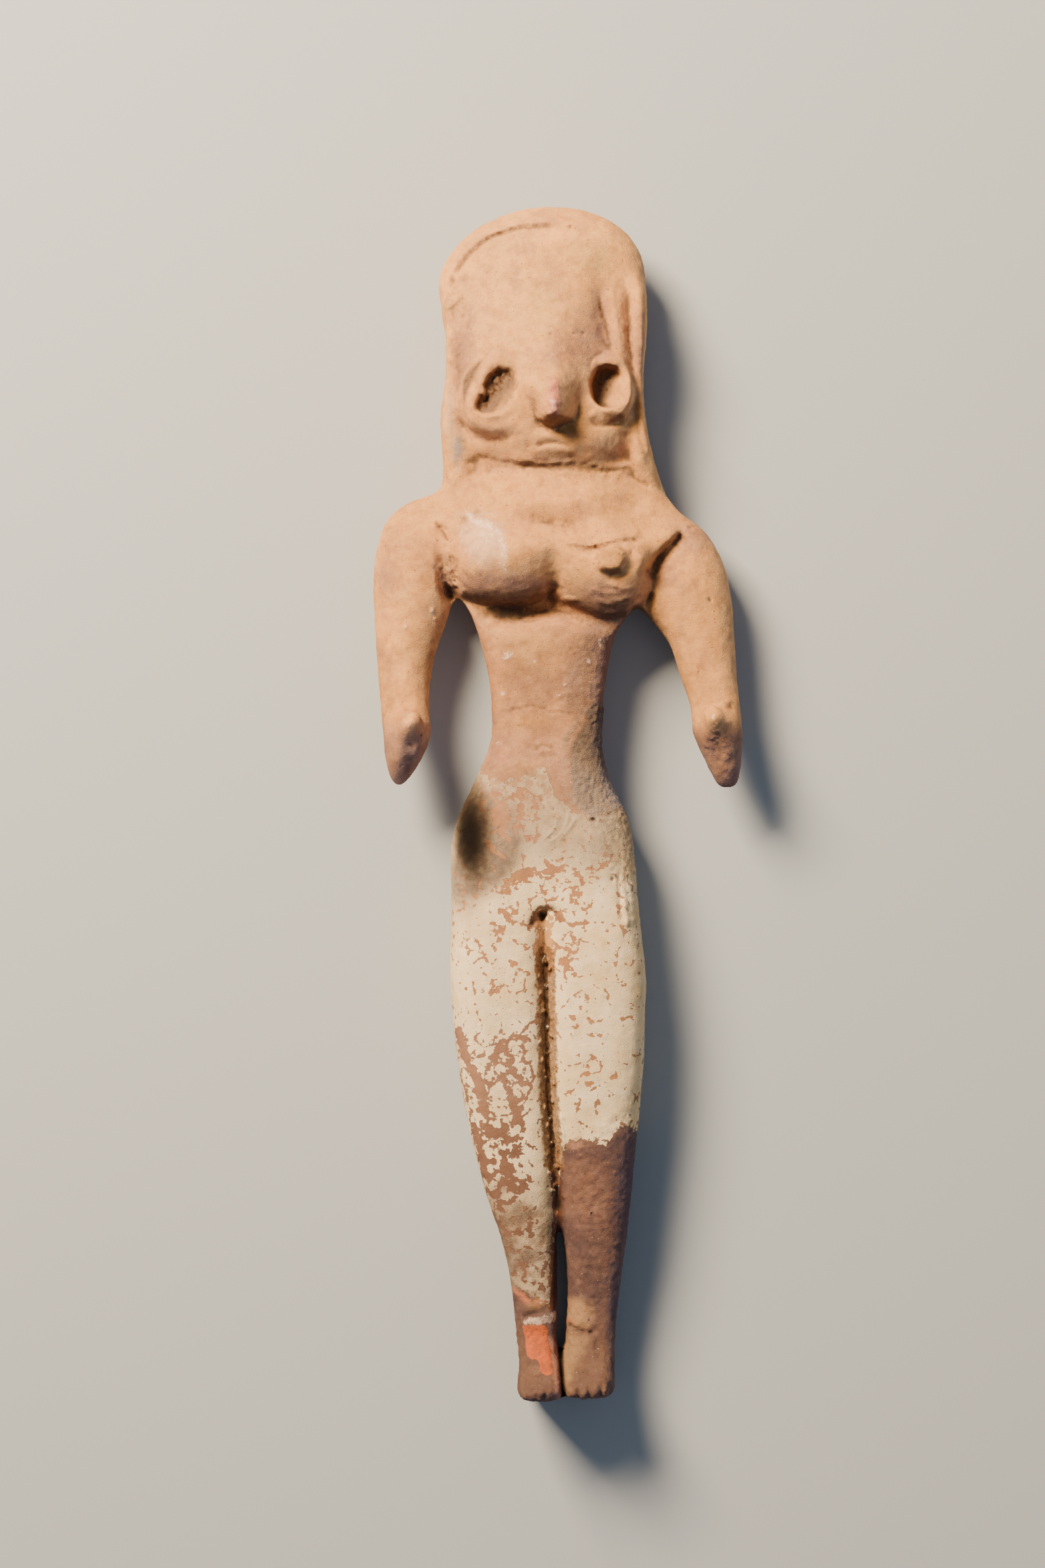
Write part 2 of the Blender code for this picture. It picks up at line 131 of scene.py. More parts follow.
class Clay:
    """The figure's surface while it is worked: each point, in millimetres, and where it faces."""

    def __init__(self, piece):
        self.piece = piece
        count = len(piece.data.vertices)
        self.at = np.empty(count * 3, np.float32)
        piece.data.vertices.foreach_get("co", self.at)
        self.at = self.at.reshape(-1, 3).astype(float) / MM
        self.x, self.y, self.z = self.at.T
        self.facing = np.empty(count * 3, np.float32)
        piece.data.vertices.foreach_get("normal", self.facing)
        self.facing = self.facing.reshape(-1, 3).astype(float)
        self.front = eased(self.facing[:, 2], 0, 0.3)
        self.ragged = self.grain(1.6, 3, 3)

    def put_back(self):
        """Gives the worked points back to the piece's mesh."""
        self.piece.data.vertices.foreach_set("co", (self.at * MM).astype(np.float32).ravel())
        self.piece.data.update()

    def grain(self, size, octaves=3, seed=0):
        """Smooth random heights, about -1 to 1, that change over that many millimetres."""
        places = self.at / size + (seed * 7.3, seed * 3.1, seed * 5.7)
        return np.array([noise.fractal(place, 1, 2, octaves) for place in places.tolist()])

    def near(self, path, reach, ragged=0):
        """The points near a drawn line, how far off (over 0 on its left), and how far along."""
        line = drawn(path)
        flat = self.at[:, :2]
        low, high = line.min(0) - reach, line.max(0) + reach
        close = ((flat > low) & (flat < high)).all(1)
        which = np.flatnonzero(close & (self.facing[:, 2] > OUT_OF_REACH))
        point, start, step = flat[which], line[:-1], np.diff(line, axis=0)
        length = np.maximum(np.hypot(*step.T), 1e-6)
        offset = point[:, None] - start
        share = np.clip((offset * step).sum(-1) / length**2, 0, 1)
        apart = np.hypot(*np.moveaxis(offset - share[..., None] * step, -1, 0))
        best = apart.argmin(1)
        row = np.arange(len(which))
        turn = step[best, 0] * offset[row, best, 1] - step[best, 1] * offset[row, best, 0]
        run = np.concatenate([[0], np.cumsum(length)])
        along = (run[best] + share[row, best] * length[best]) / run[-1]
        gap = apart[row, best] * np.where(turn > 0, 1, -1)
        if ragged:
            gap = gap + ragged * self.ragged[which]
        return which, gap, along

    def lift(self, which, height):
        self.z[which] += height * self.front[which]

    def groove(self, path, width, depth, ragged=0, lip=0, ends=0.12):
        """Draws a round-bottomed groove, with clay pushed up on both sides where there is a lip."""
        which, gap, along = self.near(path, 4 * width, ragged)
        taper = eased(along, 0, ends) * eased(along, 1, 1 - ends) if ends else 1
        height = lip * bell((np.abs(gap) - 1.9 * width) / (0.8 * width)) - depth * bell(gap / width)
        self.lift(which, height * taper)

    def ridge(self, path, width, height, ragged=0, ends=0.15):
        self.groove(path, width, -height, ragged, ends=ends)

    def ledge(self, path, height, shelf, drop, gap_width, ragged=0.2, edge=0.35, ends=0.12):
        """Leaves a line's left side higher than its right side, which is pressed down a little."""
        which, gap, along = self.near(path, 2.2 * max(shelf, gap_width), ragged)
        taper = eased(along, 0, ends) * eased(along, 1, 1 - ends)
        side = eased(gap, -edge, edge)
        raised = height * side * bell(np.maximum(gap, 0) / shelf)
        pressed = -drop * (1 - side) * bell(np.minimum(gap, 0) / gap_width)
        self.lift(which, (raised + pressed) * taper)

    def oval(self, place, sizes, tilt=0, ragged=0):
        """The points in an oval of two half sizes, and how far out they are, 1 at its edge."""
        turn = math.radians(tilt)
        x, y = (self.at[:, :2] - place).T
        across = (x * math.cos(turn) + y * math.sin(turn)) / sizes[0]
        up = (y * math.cos(turn) - x * math.sin(turn)) / sizes[1]
        far = np.hypot(across, up)
        which = np.flatnonzero((far < 1.6) & (self.facing[:, 2] > OUT_OF_REACH))
        far = far[which]
        if ragged:
            far = far + ragged * self.ragged[which]
        return which, far

    def dab(self, place, sizes, height, ragged=0, tilt=0, flat=0):
        """Adds an oval dab, or presses an oval pit. Flat, 0 to 1, is how much of it is flat-topped."""
        which, far = self.oval(place, sizes, tilt, ragged)
        self.lift(which, height * eased(far, 1, flat))

    def outline(self, points, edge=1, ragged=0):
        """1 inside a drawn outline, 0 outside, with a slope that is edge wide around the line."""
        loop = [*points, points[0]]
        line = drawn(loop, 4)
        inside = np.zeros(len(self.at), bool)
        x, y = self.x, self.y
        for (x0, y0), (x1, y1) in zip(line[:-1], line[1:]):
            if y0 != y1:
                inside ^= ((y0 > y) != (y1 > y)) & (x < (x1 - x0) * (y - y0) / (y1 - y0) + x0)
        which, gap, _ = self.near(loop, edge + 3 * ragged + 0.1)
        amount = inside.astype(float)
        signed = np.abs(gap) * np.where(inside[which], 1, -1)
        if ragged:
            signed = signed + ragged * self.ragged[which]
        amount[which] = eased(signed, -edge / 2, edge / 2)
        return amount

    def spot(self, place, sizes, flat=0, tilt=0, ragged=0):
        """1 in the middle of an oval, easing to 0 at its edge, for every point."""
        which, far = self.oval(place, sizes, tilt, ragged)
        amount = np.zeros(len(self.at))
        amount[which] = eased(far, 1, flat)
        return amount

    def stripe(self, path, width, edge=0.6, ragged=0):
        """1 along a drawn line that is so wide, easing to 0 outside it, for every point."""
        which, gap, _ = self.near(path, width / 2 + edge + 3 * ragged, ragged)
        amount = np.zeros(len(self.at))
        amount[which] = eased(np.abs(gap), width / 2 + edge / 2, width / 2 - edge / 2)
        return amount

    def level(self, mask, height):
        """Brings the clay under the mask to a height: one for all the points, or one for each."""
        self.z += mask * self.front * (height - self.z)

    def fill(self, mask, height):
        """Fills up to a height whatever lies lower under the mask."""
        self.z += mask * self.front * np.maximum(height - self.z, 0)

    def crust(self):
        """Where the lumpy crust lies, on the right of the waist and the hip."""
        waist, hip = self.outline(WAIST_CRUST, 3, ragged=0.8), self.outline(HIP_CRUST, 4, ragged=0.8)
        return np.maximum(waist, 0.7 * hip) * eased(self.facing[:, 2], -0.5, 0)


# Lines and outlines that more than one tool follows
CAP_EDGE = [(-26.4, 130.9), (-25.9, 131.9), (-24.4, 134.8), (-22.3, 137.3), (-19, 140.2), (-16, 142),
            (-12.7, 143), (-9.4, 144.2), (-6, 144.5), (-2.7, 144.6), (1, 144)]
INNER_GROOVE = [(10, 130), (10.7, 125.2), (11.3, 122), (12.3, 118.9), (13, 115.2), (13.3, 111.5)]
MAIN_GROOVE = [(16.2, 134), (17, 128.6), (17.5, 124.8), (17.7, 120.2), (17.9, 115.6), (18.4, 111),
               (18.9, 105)]
LEFT_DISC = [(-17.4, 111.8), (-11, 110.6), (-8.6, 105), (-9.6, 98.6), (-14, 95.4), (-19.4, 96.2),
             (-23.2, 100.4), (-22.8, 107)]
DISC_FOOT = [(-24, 103), (-23.8, 97.6), (-22.5, 94), (-19.4, 91.4), (-15.2, 90.8), (-11.4, 92),
             (-8.4, 94.4)]
LEG_GROOVE = [(-3.6, -25.5), (-3.6, -30), (-3.2, -37), (-2.8, -46), (-2.6, -57), (-2.4, -68),
              (-1.7, -78), (-0.9, -87), (-0.2, -95), (0.6, -102)]
GROOVE_TOP = [(-6.8, -29.6), (-5.2, -27.2), (-3.6, -25.4), (-1, -25.8), (0.4, -28)]
FEET_LINE = [(0.8, -133.5), (0.9, -137), (1.1, -141), (1.5, -146), (1.9, -151)]
WAIST_CRUST = [(7.3, 24), (4.6, 20), (2.2, 16.3), (1.9, 11), (2.6, 5), (4, 0.4), (7, -2.6), (9, -4.6),
               (14, -5), (20, -3), (22, 4), (18, 26)]
HIP_CRUST = [(8, -3), (18, 0), (21.5, -8), (22, -20), (21, -34), (17, -32), (15.5, -20), (11, -12)]
RIGHT_TOES = (5.2, 7.8, 10.8, 13.2)
PELLET = ((13.2, 61), (4.7, 4.1))


# ---------------------------------------------------------------- broad shapes, pushed with the thumb


def shape_head(clay):
    """Forehead and temples, and the grooves and locks of hair on the right."""
    each(clay.dab, (
        ((-7, 114), (16, 30), 2), ((12.5, 119), (9, 24), -2.4), ((-24.5, 108), (5, 20), -1),
    ))
    clay.ridge([(12, 134), (13.6, 126), (15, 118), (16.2, 108)], 2.4, 1.5, ends=0.4)
    clay.dab((21.5, 122), (4, 17), 1.3)
    clay.groove(INNER_GROOVE, 1.9, 1, lip=0.1, ends=0.4)
    clay.dab((11.7, 116), (2, 5.6), -0.7, tilt=12)
    clay.groove([*MAIN_GROOVE, (20.4, 97), (21.8, 89)], 1.3, 1.2, lip=0.2, ends=0.25)


def shape_nose(clay):
    """A ridge that rises to its tip, steeper on its right, with a cut-off underside."""
    x, y = clay.x, clay.y
    middle, face = -1.4, 24.2
    clay.dab((-7, 105), (4.6, 9), 0.8, tilt=-12)
    top = np.interp(y, [91, 92.6, 94, 95, 96, 97, 98.6, 101, 103, 105, 107, 110],
                    [24.2, 24.6, 26.2, 30.4, 33.8, 34.5, 34.5, 34, 33.3, 32.4, 31.4, 29.8])
    left = np.interp(y, [95, 98, 102, 106], [5, 3, 1.3, 1]) * 0.2 * np.maximum(middle - x, 0) ** 1.75
    right = np.interp(y, [94, 97, 102, 106], [2.2, 1.7, 1.1, 1]) * 0.32
    right = right * np.maximum(x - middle, 0) ** 1.6
    nose = np.maximum(top - left - right, face)
    flanks = [(-4.6, 102), (-4.2, 96.6), (0, 95.6), (5, 97), (7, 101), (6, 108), (2, 110), (-4, 109)]
    underside = [(-5.4, 98.4), (-5.2, 94), (-2, 92.8), (3, 93.4), (5.4, 96), (5, 99.4), (0, 103),
                 (-3, 102)]
    clay.fill(clay.outline(flanks, 2), nose)
    clay.level(clay.outline(underside, 2.4), nose)
    clay.dab((1.4, 92), (6, 2.2), -0.6, tilt=-14)


def shape_eyes(clay):
    """On the left a torn hole in a thick disc, on the right a dish that slopes up to its rim."""
    x, y = clay.x, clay.y
    pad = [(-22.6, 103), (-22.4, 97.4), (-20.6, 94.2), (-18.2, 92.8), (-14.8, 92.4), (-11.6, 93.4),
           (-8.6, 96), (-9, 104), (-14, 107)]
    clay.fill(clay.outline(pad, 4.2), 25.4)
    disc = 25.2 + 0.05 * (y - 102) - 0.4 * np.maximum(-18.5 - x, 0) * eased(y, 99, 104)
    clay.fill(clay.spot((-16, 104), (8.6, 9.8), 0.45, -30), disc)
    hole = [(-14.8, 108.2), (-12, 107.8), (-10.4, 104.8), (-11.4, 101), (-13.6, 97.8), (-16.6, 97),
            (-19.5, 97.9), (-20, 99.8), (-17.8, 101.4), (-17.8, 103.6), (-16.8, 106.4)]
    floor = 22.2 + 2.9 * eased(0.8 * (x + 18) - 0.6 * (y - 102), -1.5, 7.5)
    clay.level(clay.outline(hole, 2.2, ragged=0.5), floor)
    clay.groove(DISC_FOOT, 1.6, 0.5, ends=0.3)
    clay.fill(clay.spot((13.4, 110.2), (4, 3.2), 0.3, -20), 25.2 - 0.1 * (x - 12))
    rim = [(15.6, 110.4), (17.9, 106), (18, 101.4), (15.4, 97.6), (11.2, 96.6)]
    clay.fill(clay.stripe(rim, 1.6, 2.4), 24.4)
    dish = [(12.2, 109), (9.8, 107.8), (8.7, 104.6), (9.1, 101), (11.4, 98.9), (14.8, 98.9), (17, 101.4),
            (16.8, 105.4), (15, 108)]
    floor = 18.4 + 5.6 * eased(0.94 * (x - 8.6) - 0.34 * (y - 104.5), 2.2, 8.4)
    clay.level(clay.outline(dish, 1.3), floor)


def shape_neck(clay):
    """A shallow step from the jaw down to the neck."""
    clay.dab((-2, 79.5), (25, 10), 2.4, flat=0.35)
    each(clay.dab, (((-2, 88), (21, 5.5), -0.9), ((9, 90), (9, 6), 0.8)))


def shape_chest(clay):
    """Both breasts, the waist, and the hollow beside the flap on the right."""
    x, y = clay.x, clay.y
    each(clay.dab, (((-13, 74), (13, 7), 1), ((4, 73), (15, 9), 1.5), ((-2.5, 26), (17, 30), -2.4),
                    ((-12, 46.5), (12, 6), -1.4)))
    # each breast, from the belly over its lower edge and its turned-under face up to the chest
    above = y - np.interp(x, [-27, -24, -19.7, -12.7, -7.7, -3.7, -1, 2],
                          [54, 52.3, 50.9, 50.1, 50.6, 52, 53.8, 56])
    left = np.interp(above, [-3, -0.8, 0, 0.7, 1.6, 2.9, 4.7, 6.9, 9.2, 11.4, 13.6, 18, 24],
                     [16.4, 16.8, 18.6, 20.7, 22.4, 23.9, 25.3, 26.6, 27.6, 28.2, 28.1, 26.4, 23.8])
    left = left - 0.07 * np.maximum(-16 - x, 0) ** 1.9 - 0.042 * np.maximum(x + 12, 0) ** 1.75
    above = y - np.interp(x, [-2, 1, 4, 7.4, 10.4, 13.9, 17.4, 19.9, 23.4],
                          [54, 51.4, 49.8, 48.4, 47.2, 47, 47.8, 49.2, 53])
    right = np.interp(above, [-3, -0.7, 0, 0.8, 2, 3.6, 5.6, 7.8, 10.2, 12.6, 17, 22],
                      [17.2, 17.5, 18.9, 20.5, 21.9, 23.4, 24.8, 26, 26.9, 27.2, 26.4, 25.2])
    right = right - 0.06 * np.maximum(x - 15, 0) ** 1.9
    right = right - 0.06 * np.maximum(9 - x, 0) ** 1.7 * eased(above, 24, 8)
    # the two run into one another softly, and fade out towards the neck
    sharp, belly, base = 0.6, 20, 19.6
    joined = np.log(np.exp(sharp * (left - belly)) + np.exp(sharp * (right - belly))) / sharp + base
    around = [(-29, 72), (-20, 79), (-8, 78), (0, 75), (6, 72), (19, 70), (22.5, 60), (23.5, 52),
              (20, 45.6), (13, 43.4), (6.5, 44.6), (0, 47), (-10, 46), (-18, 46), (-25, 48.6), (-29, 56)]
    neck = [(-40, 68), (-28, 66), (-16, 71), (0, 67.5), (14, 64.5), (26, 66), (26, 90), (-40, 90)]
    clay.level(clay.outline(around, 3.6) * (1 - clay.outline(neck, 9)), joined)
    clay.dab((24.6, 59.5), (4.6, 7.5), -1.4, tilt=-25)
    flap = [(20.5, 58.2), (22.6, 59.8), (25.4, 63.1), (28.9, 66.6), (31, 69)]
    clay.ledge(flap, 0.8, 4, 2.4, 3.8, 0, 0.8)
    left_side = [(-30, 70.5), (-27.8, 67.2), (-26.5, 64), (-25.7, 61), (-25, 56.5), (-24.6, 52)]
    clay.groove(left_side, 1.5, 1.3)


def shape_hands(clay):
    """Each hand is a mitten: the left with a thumb on a ridge, the right with its palm broken away."""
    clay.ridge([(-38.6, 21), (-39.4, 16), (-40.2, 10), (-40.4, 6)], 2.2, 0.8, ends=0.2)
    clay.dab((-36.6, 20.8), (2.8, 3), 1.6)
    clay.groove([(-34.6, 18.6), (-35.8, 14.5), (-37, 10.5), (-38, 7.5)], 1.3, 0.5, ends=0.25)
    clay.ridge([(-32.8, 22), (-33.8, 17), (-36, 11)], 1.6, 1.2)
    clay.dab((38.6, 21.6), (3.6, 3), 1.4, tilt=15)
    clay.ridge([(33.8, 22), (35.5, 23.6), (40, 25.2), (44, 26), (45, 24.8)], 0.9, 0.6)
    clay.dab((39.6, 13.6), (3.2, 6.2), -1.7, tilt=12)
    clay.dab((42.8, 11.2), (2, 2.2), -0.8)
    clay.groove([(43.2, 26), (42.9, 23.5)], 0.7, 0.7)
    clay.dab((42.4, 20.9), (1.4, 1.6), 0.8)


def shape_legs(clay):
    """The long groove between the legs, the ankles with their breaks, and the toes."""
    clay.groove(LEG_GROOVE, 2.4, 1.2, ends=0.03)
    clay.groove(LEG_GROOVE, 1, 1.4, ends=0.02)
    clay.groove([(-3.6, -26.5), (-5.2, -27.4), (-6.7, -30)], 0.7, 1.2)
    clay.groove([(-3.4, -26), (-1.6, -25.8), (0, -27.2)], 0.8, 1.4)
    clay.dab((-3.8, -27), (1.9, 2.2), -2.4, 0.3)
    clay.ledge([(-1.8, -126.2), (-5.2, -127), (-8.9, -128.4)], 0.5, 3, 0.5, 1.2)
    clay.ledge([(10, -132.2), (6.5, -131.6), (2.4, -130.4)], 0.8, 3, 0.8, 1.2)
    for x in RIGHT_TOES:
        clay.groove([(x - 0.3, -142.5), (x, -146), (x, -150.5)], 0.6, 1.5, ends=0.25)


# ---------------------------------------------------------------- fine shapes, drawn with the tool


def line_head(clay):
    """The edge of the cap, what is left of the hair, and nicks in the forehead."""
    clay.ledge(CAP_EDGE, 0.75, 3.6, 0.75, 1.8, edge=0.9)
    clay.groove(CAP_EDGE[1:8], 0.7, 0.25, 0.2, lip=0.1, ends=0.1)
    clay.dab((-26.1, 130.9), (1.5, 1.6), -0.7)
    clay.ridge([(-24.6, 131.6), (-22.6, 135), (-19.6, 138)], 0.6, 0.22)
    clay.groove([(3, 144), (5, 143.2), (8.6, 141.8)], 0.5, 0.2, 0.5)
    clay.dab((3.2, 144), (0.8, 0.8), -0.8)
    clay.dab((-26.5, 125.6), (3.4, 1.9), 0.4, 0.3, tilt=25, flat=0.6)
    clay.dab((-28, 122), (3, 3), -0.4, 0.2)
    each(clay.dab, (((-5, 129), (1.8, 1.8), -0.3), ((-1.8, 116.6), (0.7, 0.7), -0.4),
                    ((6.3, 117), (0.8, 0.8), -0.25), ((-8.3, 139.5), (2.6, 2.6), -0.25)), ragged=0.3)
    clay.groove([(-14, 138), (-15.6, 134.6), (-18, 132)], 0.4, 0.15, 0.4)
    clay.groove([(3, 116.8), (6.3, 117.2), (8.4, 116.6)], 0.3, 0.2, 0.2)
    clay.groove(INNER_GROOVE, 0.5, 0.4, 0.2, lip=0.1, ends=0.35)
    clay.groove(MAIN_GROOVE, 0.6, 0.3, 0.2, lip=0.1, ends=0.35)
    each(clay.groove, (
        ([(18.8, 108), (19.4, 100), (20.2, 93.5), (22, 88), (24.1, 83)], 0.8, 0.6, 0.2),
        ([(14.4, 130), (15.4, 121), (16.2, 114)], 0.5, 0.2, 0.2),
        ([(20, 120), (20.6, 112), (20.8, 104)], 0.6, 0.25, 0.2),
        ([(16.8, 93.6), (17.6, 88), (18.2, 84.3)], 1.2, 0.6, 0.1),
        ([(-25.6, 126), (-25, 112), (-24.2, 102), (-23.9, 93)], 2, 1.1, 0.3),
        ([(-26.8, 112), (-26.6, 100), (-26, 90)], 0.6, 0.2, 0.2),
        ([(-23.6, 92), (-24.2, 87.6), (-25.2, 85.1), (-27.4, 82.2)], 1.2, 0.4, 0.25),
    ))


def line_face(clay):
    """Rims of the discs, the worn ridge of the nose, the lips, and the line under the chin."""
    clay.groove(DISC_FOOT, 0.7, 0.2, 0.15, ends=0.3)
    left_rim = [(-23, 103.5), (-21.6, 99), (-18.3, 96.8), (-14.4, 97), (-11.6, 99)]
    clay.ridge(left_rim, 1.1, 0.35, ends=0.25)
    each(clay.dab, (((-18.4, 100.9), (1.9, 1.8), -1.2), ((-15, 105.5), (1.4, 1.6), 0.8)), ragged=0.4)
    clay.ridge([(16.8, 97.6), (17.9, 101), (18, 104.5), (17.2, 108)], 0.7, 0.55, ends=0.25)
    clay.groove([(12, 113.3), (8.6, 110.8), (7.6, 107.6)], 0.5, 0.35, ends=0.2)
    clay.groove([(7.2, 96), (10, 94.4), (14, 94.8), (17.4, 96.8)], 0.7, 0.55, 0.15, ends=0.2)
    each(clay.dab, (((8.8, 97), (1.7, 1.5), 0.45), ((15.8, 97.6), (2, 1.5), 0.45),
                    ((12.4, 96), (1.4, 1), -0.25)))
    clay.dab((-1.1, 100.4), (2, 4.8), 0.3, 0.4, flat=0.6)
    # lips
    clay.ridge([(-6.2, 89.8), (-4.6, 91), (-1.8, 91.7), (1.2, 91.2), (3.4, 90.2)], 1.05, 0.3)
    clay.groove([(-5.6, 88.9), (-2.7, 89.8), (0.8, 89.8), (3.4, 89.2)], 0.55, 0.34, 0.15)
    clay.ridge([(-7.7, 87.6), (-4, 88.2), (-1, 88.4), (2.5, 88.2), (5.6, 87.6)], 1.2, 0.38)
    clay.groove([(-7.2, 86), (-4, 85.7), (-1, 85.9), (2.5, 86.4), (5, 87)], 0.6, 0.25, 0.25)
    clay.groove([(-9.8, 92.5), (-7.9, 90.6), (-7.4, 88.6)], 0.7, 0.2)
    clay.groove([(6.6, 92), (6.6, 89.5), (7.6, 87.5)], 0.7, 0.2)
    for x in (9.2, 10.8, 12.7, 14.4, 16):
        clay.groove([(x - 0.6, 93.2), (x, 89.5), (x + 0.2, 86)], 0.45, 0.13, 0.2, ends=0.4)
    # under the chin
    chin = [(-23.4, 85.6), (-19, 86.5), (-15.2, 85.8), (-10.6, 84.9), (-6, 84.1), (-1, 83.8),
            (2.3, 84.4), (7.4, 83.7), (13.2, 83.4), (17.6, 84.2)]
    clay.fill(clay.stripe(chin, 3.4, 3.4), 21.9 - 0.012 * clay.x**2)
    clay.groove(chin, 0.8, 0.4, 0.5, ends=0.1)
    clay.groove(chin[3:], 1.5, 0.6, 0.5, ends=0.2)
    clay.groove(chin[7:], 0.7, 0.3, 0.5, ends=0.2)
    clay.dab((17.2, 84.1), (1.5, 1.1), -0.8, 0.2)
    clay.groove([(17.8, 83.8), (20.3, 81.3), (23.2, 79.5)], 0.8, 0.4, 0.4, lip=0.2)
    clay.groove([(-12, 84), (-4, 82.4), (4, 82)], 0.6, 0.15, 0.4)


def line_chest(clay):
    """Creases at the arms, what is left of the applied clay on the right breast, and small bumps."""
    clay.groove([(-41, 74.2), (-38.6, 73.2), (-37, 73)], 0.4, 0.4, 0.3)
    clay.groove([(32.4, 69.2), (35, 69.8), (37.4, 69.2)], 0.4, 0.4, 0.3)
    clay.groove([(-30.5, 71), (-28.6, 68), (-27.2, 65.6)], 0.5, 0.5, 0.3, lip=0.3)
    clay.ridge([(-29.5, 69.5), (-28.2, 67.2), (-27.4, 65)], 0.5, 0.4, 0.3)
    clay.groove([(-26.6, 63), (-25.6, 59), (-24.8, 54)], 0.7, 0.6, 0.5, lip=0.3)
    clay.groove([(-23.5, 52.6), (-19.7, 50.6), (-12.7, 49.8), (-8.2, 50), (-4, 51.4)], 0.6, 0.5, 0.15)
    scrap = [(1.4, 64.8), (4.8, 64.3), (7.9, 63.8), (9.9, 64.6), (13.9, 65.6), (17.9, 66.2), (21, 66.8)]
    clay.ledge(scrap, 0.6, 2, 0.6, 1.5, 0.3, 0.8)
    clay.groove(scrap[:4], 0.6, 0.3, 0.25)
    clay.dab(*PELLET, 2, 0.12, tilt=15, flat=0.5)
    clay.groove([(12, 57.2), (14.6, 56.6), (17.3, 58.1), (18.6, 61), (17.8, 63.8)], 1.3, 0.6, 0.25)
    clay.groove([(8.9, 64.4), (10.6, 63), (9.2, 60.4)], 0.5, 0.4, 0.2)
    clay.ridge([(18.6, 63.5), (21, 61.4), (22.6, 60.4)], 0.8, 0.4, 0.2)
    clay.dab((3, 51.3), (2.4, 1.2), 0.6, 0.2, tilt=-8, flat=0.4)
    clay.dab((0.2, 54.2), (1.8, 1.7), -0.4, 0.6)
    for x, y, size, high in (
        (38, 51.3, 0.8, -0.6), (36.4, 64.3, 0.6, -0.3), (-31, 48.6, 1, 0.5), (-37.8, 44.8, 0.9, 0.35),
        (-30.4, 46.6, 0.6, 0.4), (-25.4, 55.2, 1.1, 0.6), (-23.4, 53.6, 0.8, 0.5),
    ):
        clay.dab((x, y), (size, 1.2 * size), high, 0.3)
    for x0, y0, x1, y1 in (
        (8, 54, 14, 52.6), (12, 55.2, 19, 54), (13, 50.8, 19, 52.4), (9, 51.8, 13, 50),
    ):
        sag = ((x0 + x1) / 2, (y0 + y1) / 2 - 0.5)
        clay.ridge([(x0, y0), sag, (x1, y1)], 0.5, 0.2, 0.2)


def line_belly(clay):
    """The crease across the belly, the navel, threads and grains of clay, and pits."""
    crease = [(-16, 23.6), (-12.5, 23.3), (-9.1, 24.3), (-4.9, 24.5), (-1.5, 23.5), (2.7, 23),
              (6, 22.4)]
    clay.groove(crease, 0.4, 0.2, 0.5, lip=0.06)
    clay.groove([(-5.8, 13.8), (-4.1, 14.8), (-0.7, 14.6)], 0.5, 0.35, 0.3)
    clay.ridge([(-5.6, 12.8), (-3.6, 13.6), (-1, 13.4)], 0.7, 0.3)
    for thread in ([(-4.1, -9), (-1, -6), (0.4, -1.6)], [(-2.6, -9.6), (1.2, -6.4), (3.2, -1.2)],
                   [(0, -9), (2.6, -6), (5, -2.6)]):
        clay.ridge(thread, 0.32, 0.3, 0.1)
    for k in range(4):
        clay.ridge([(-25.4, -19 - 1.4 * k), (-23.2, -19.4 - 1.4 * k)], 0.3, 0.25)
    clay.ridge([(16.2, -22), (16.9, -26), (17.4, -30.5)], 0.8, 0.6, 0.2)
    clay.ridge([(18.2, -18), (18.6, -24), (19, -30)], 0.9, 0.5, 0.2)
    clay.groove([(15, -16), (15.2, -22), (15.6, -29)], 0.5, 0.35, 0.2)
    each(clay.dab, (((8.8, -3.6), (1.2, 1.2), -0.9), ((13.6, -18.3), (0.8, 0.8), -0.8),
                    ((-0.9, -0.9), (0.5, 0.5), -0.4), ((1.3, -13.3), (0.4, 0.4), -0.4)), ragged=0.3)


def line_legs(clay):
    """Crumbs and threads of resin in the long groove, the breaks at the ankles, and the toes."""
    for k, y in enumerate(np.arange(-39, -98, -1.5)):
        x = np.interp(y, [-101, -87, -68, -37], [0.4, -0.9, -2.4, -3.2])
        clay.dab((x + 1.3 * math.sin(2.3 * k), y), (0.7, 0.9), 0.8 + 0.5 * math.sin(1.7 * k), 0.5)
    clay.dab((-3, -38.6), (1, 1.3), 1.6, 0.4)
    clay.ridge([(0.6, -76), (1.3, -82), (0.9, -86)], 0.6, 0.6, 0.3)
    clay.groove(FEET_LINE, 0.7, 5, ends=0)
    for x in (-7.6, -5.4, -3.3, -1.3):
        clay.groove([(x, -144.8), (x + 0.2, -147.4), (x + 0.3, -150.4)], 0.6, 0.5, 0.3, ends=0.3)
    for x in RIGHT_TOES:
        clay.groove([(x - 0.2, -144), (x, -147), (x, -150.5)], 0.5, 0.4, 0.3, ends=0.3)
    clay.groove([(-8.7, -128.1), (-6.6, -127.2), (-2.3, -126.4)], 0.4, 0.4, 0.2)
    clay.groove([(1.4, -130.2), (3.4, -130.6), (5.8, -131.4), (9.2, -132.1)], 0.5, 1.2, 0.2)
    clay.dab((1.2, -127.4), (0.9, 1.6), 0.9, 0.5)
    for place in ((-6.4, -143.5), (-4.2, -145)):
        clay.dab(place, (1.4, 1.1), 0.3, 0.3, flat=0.5)


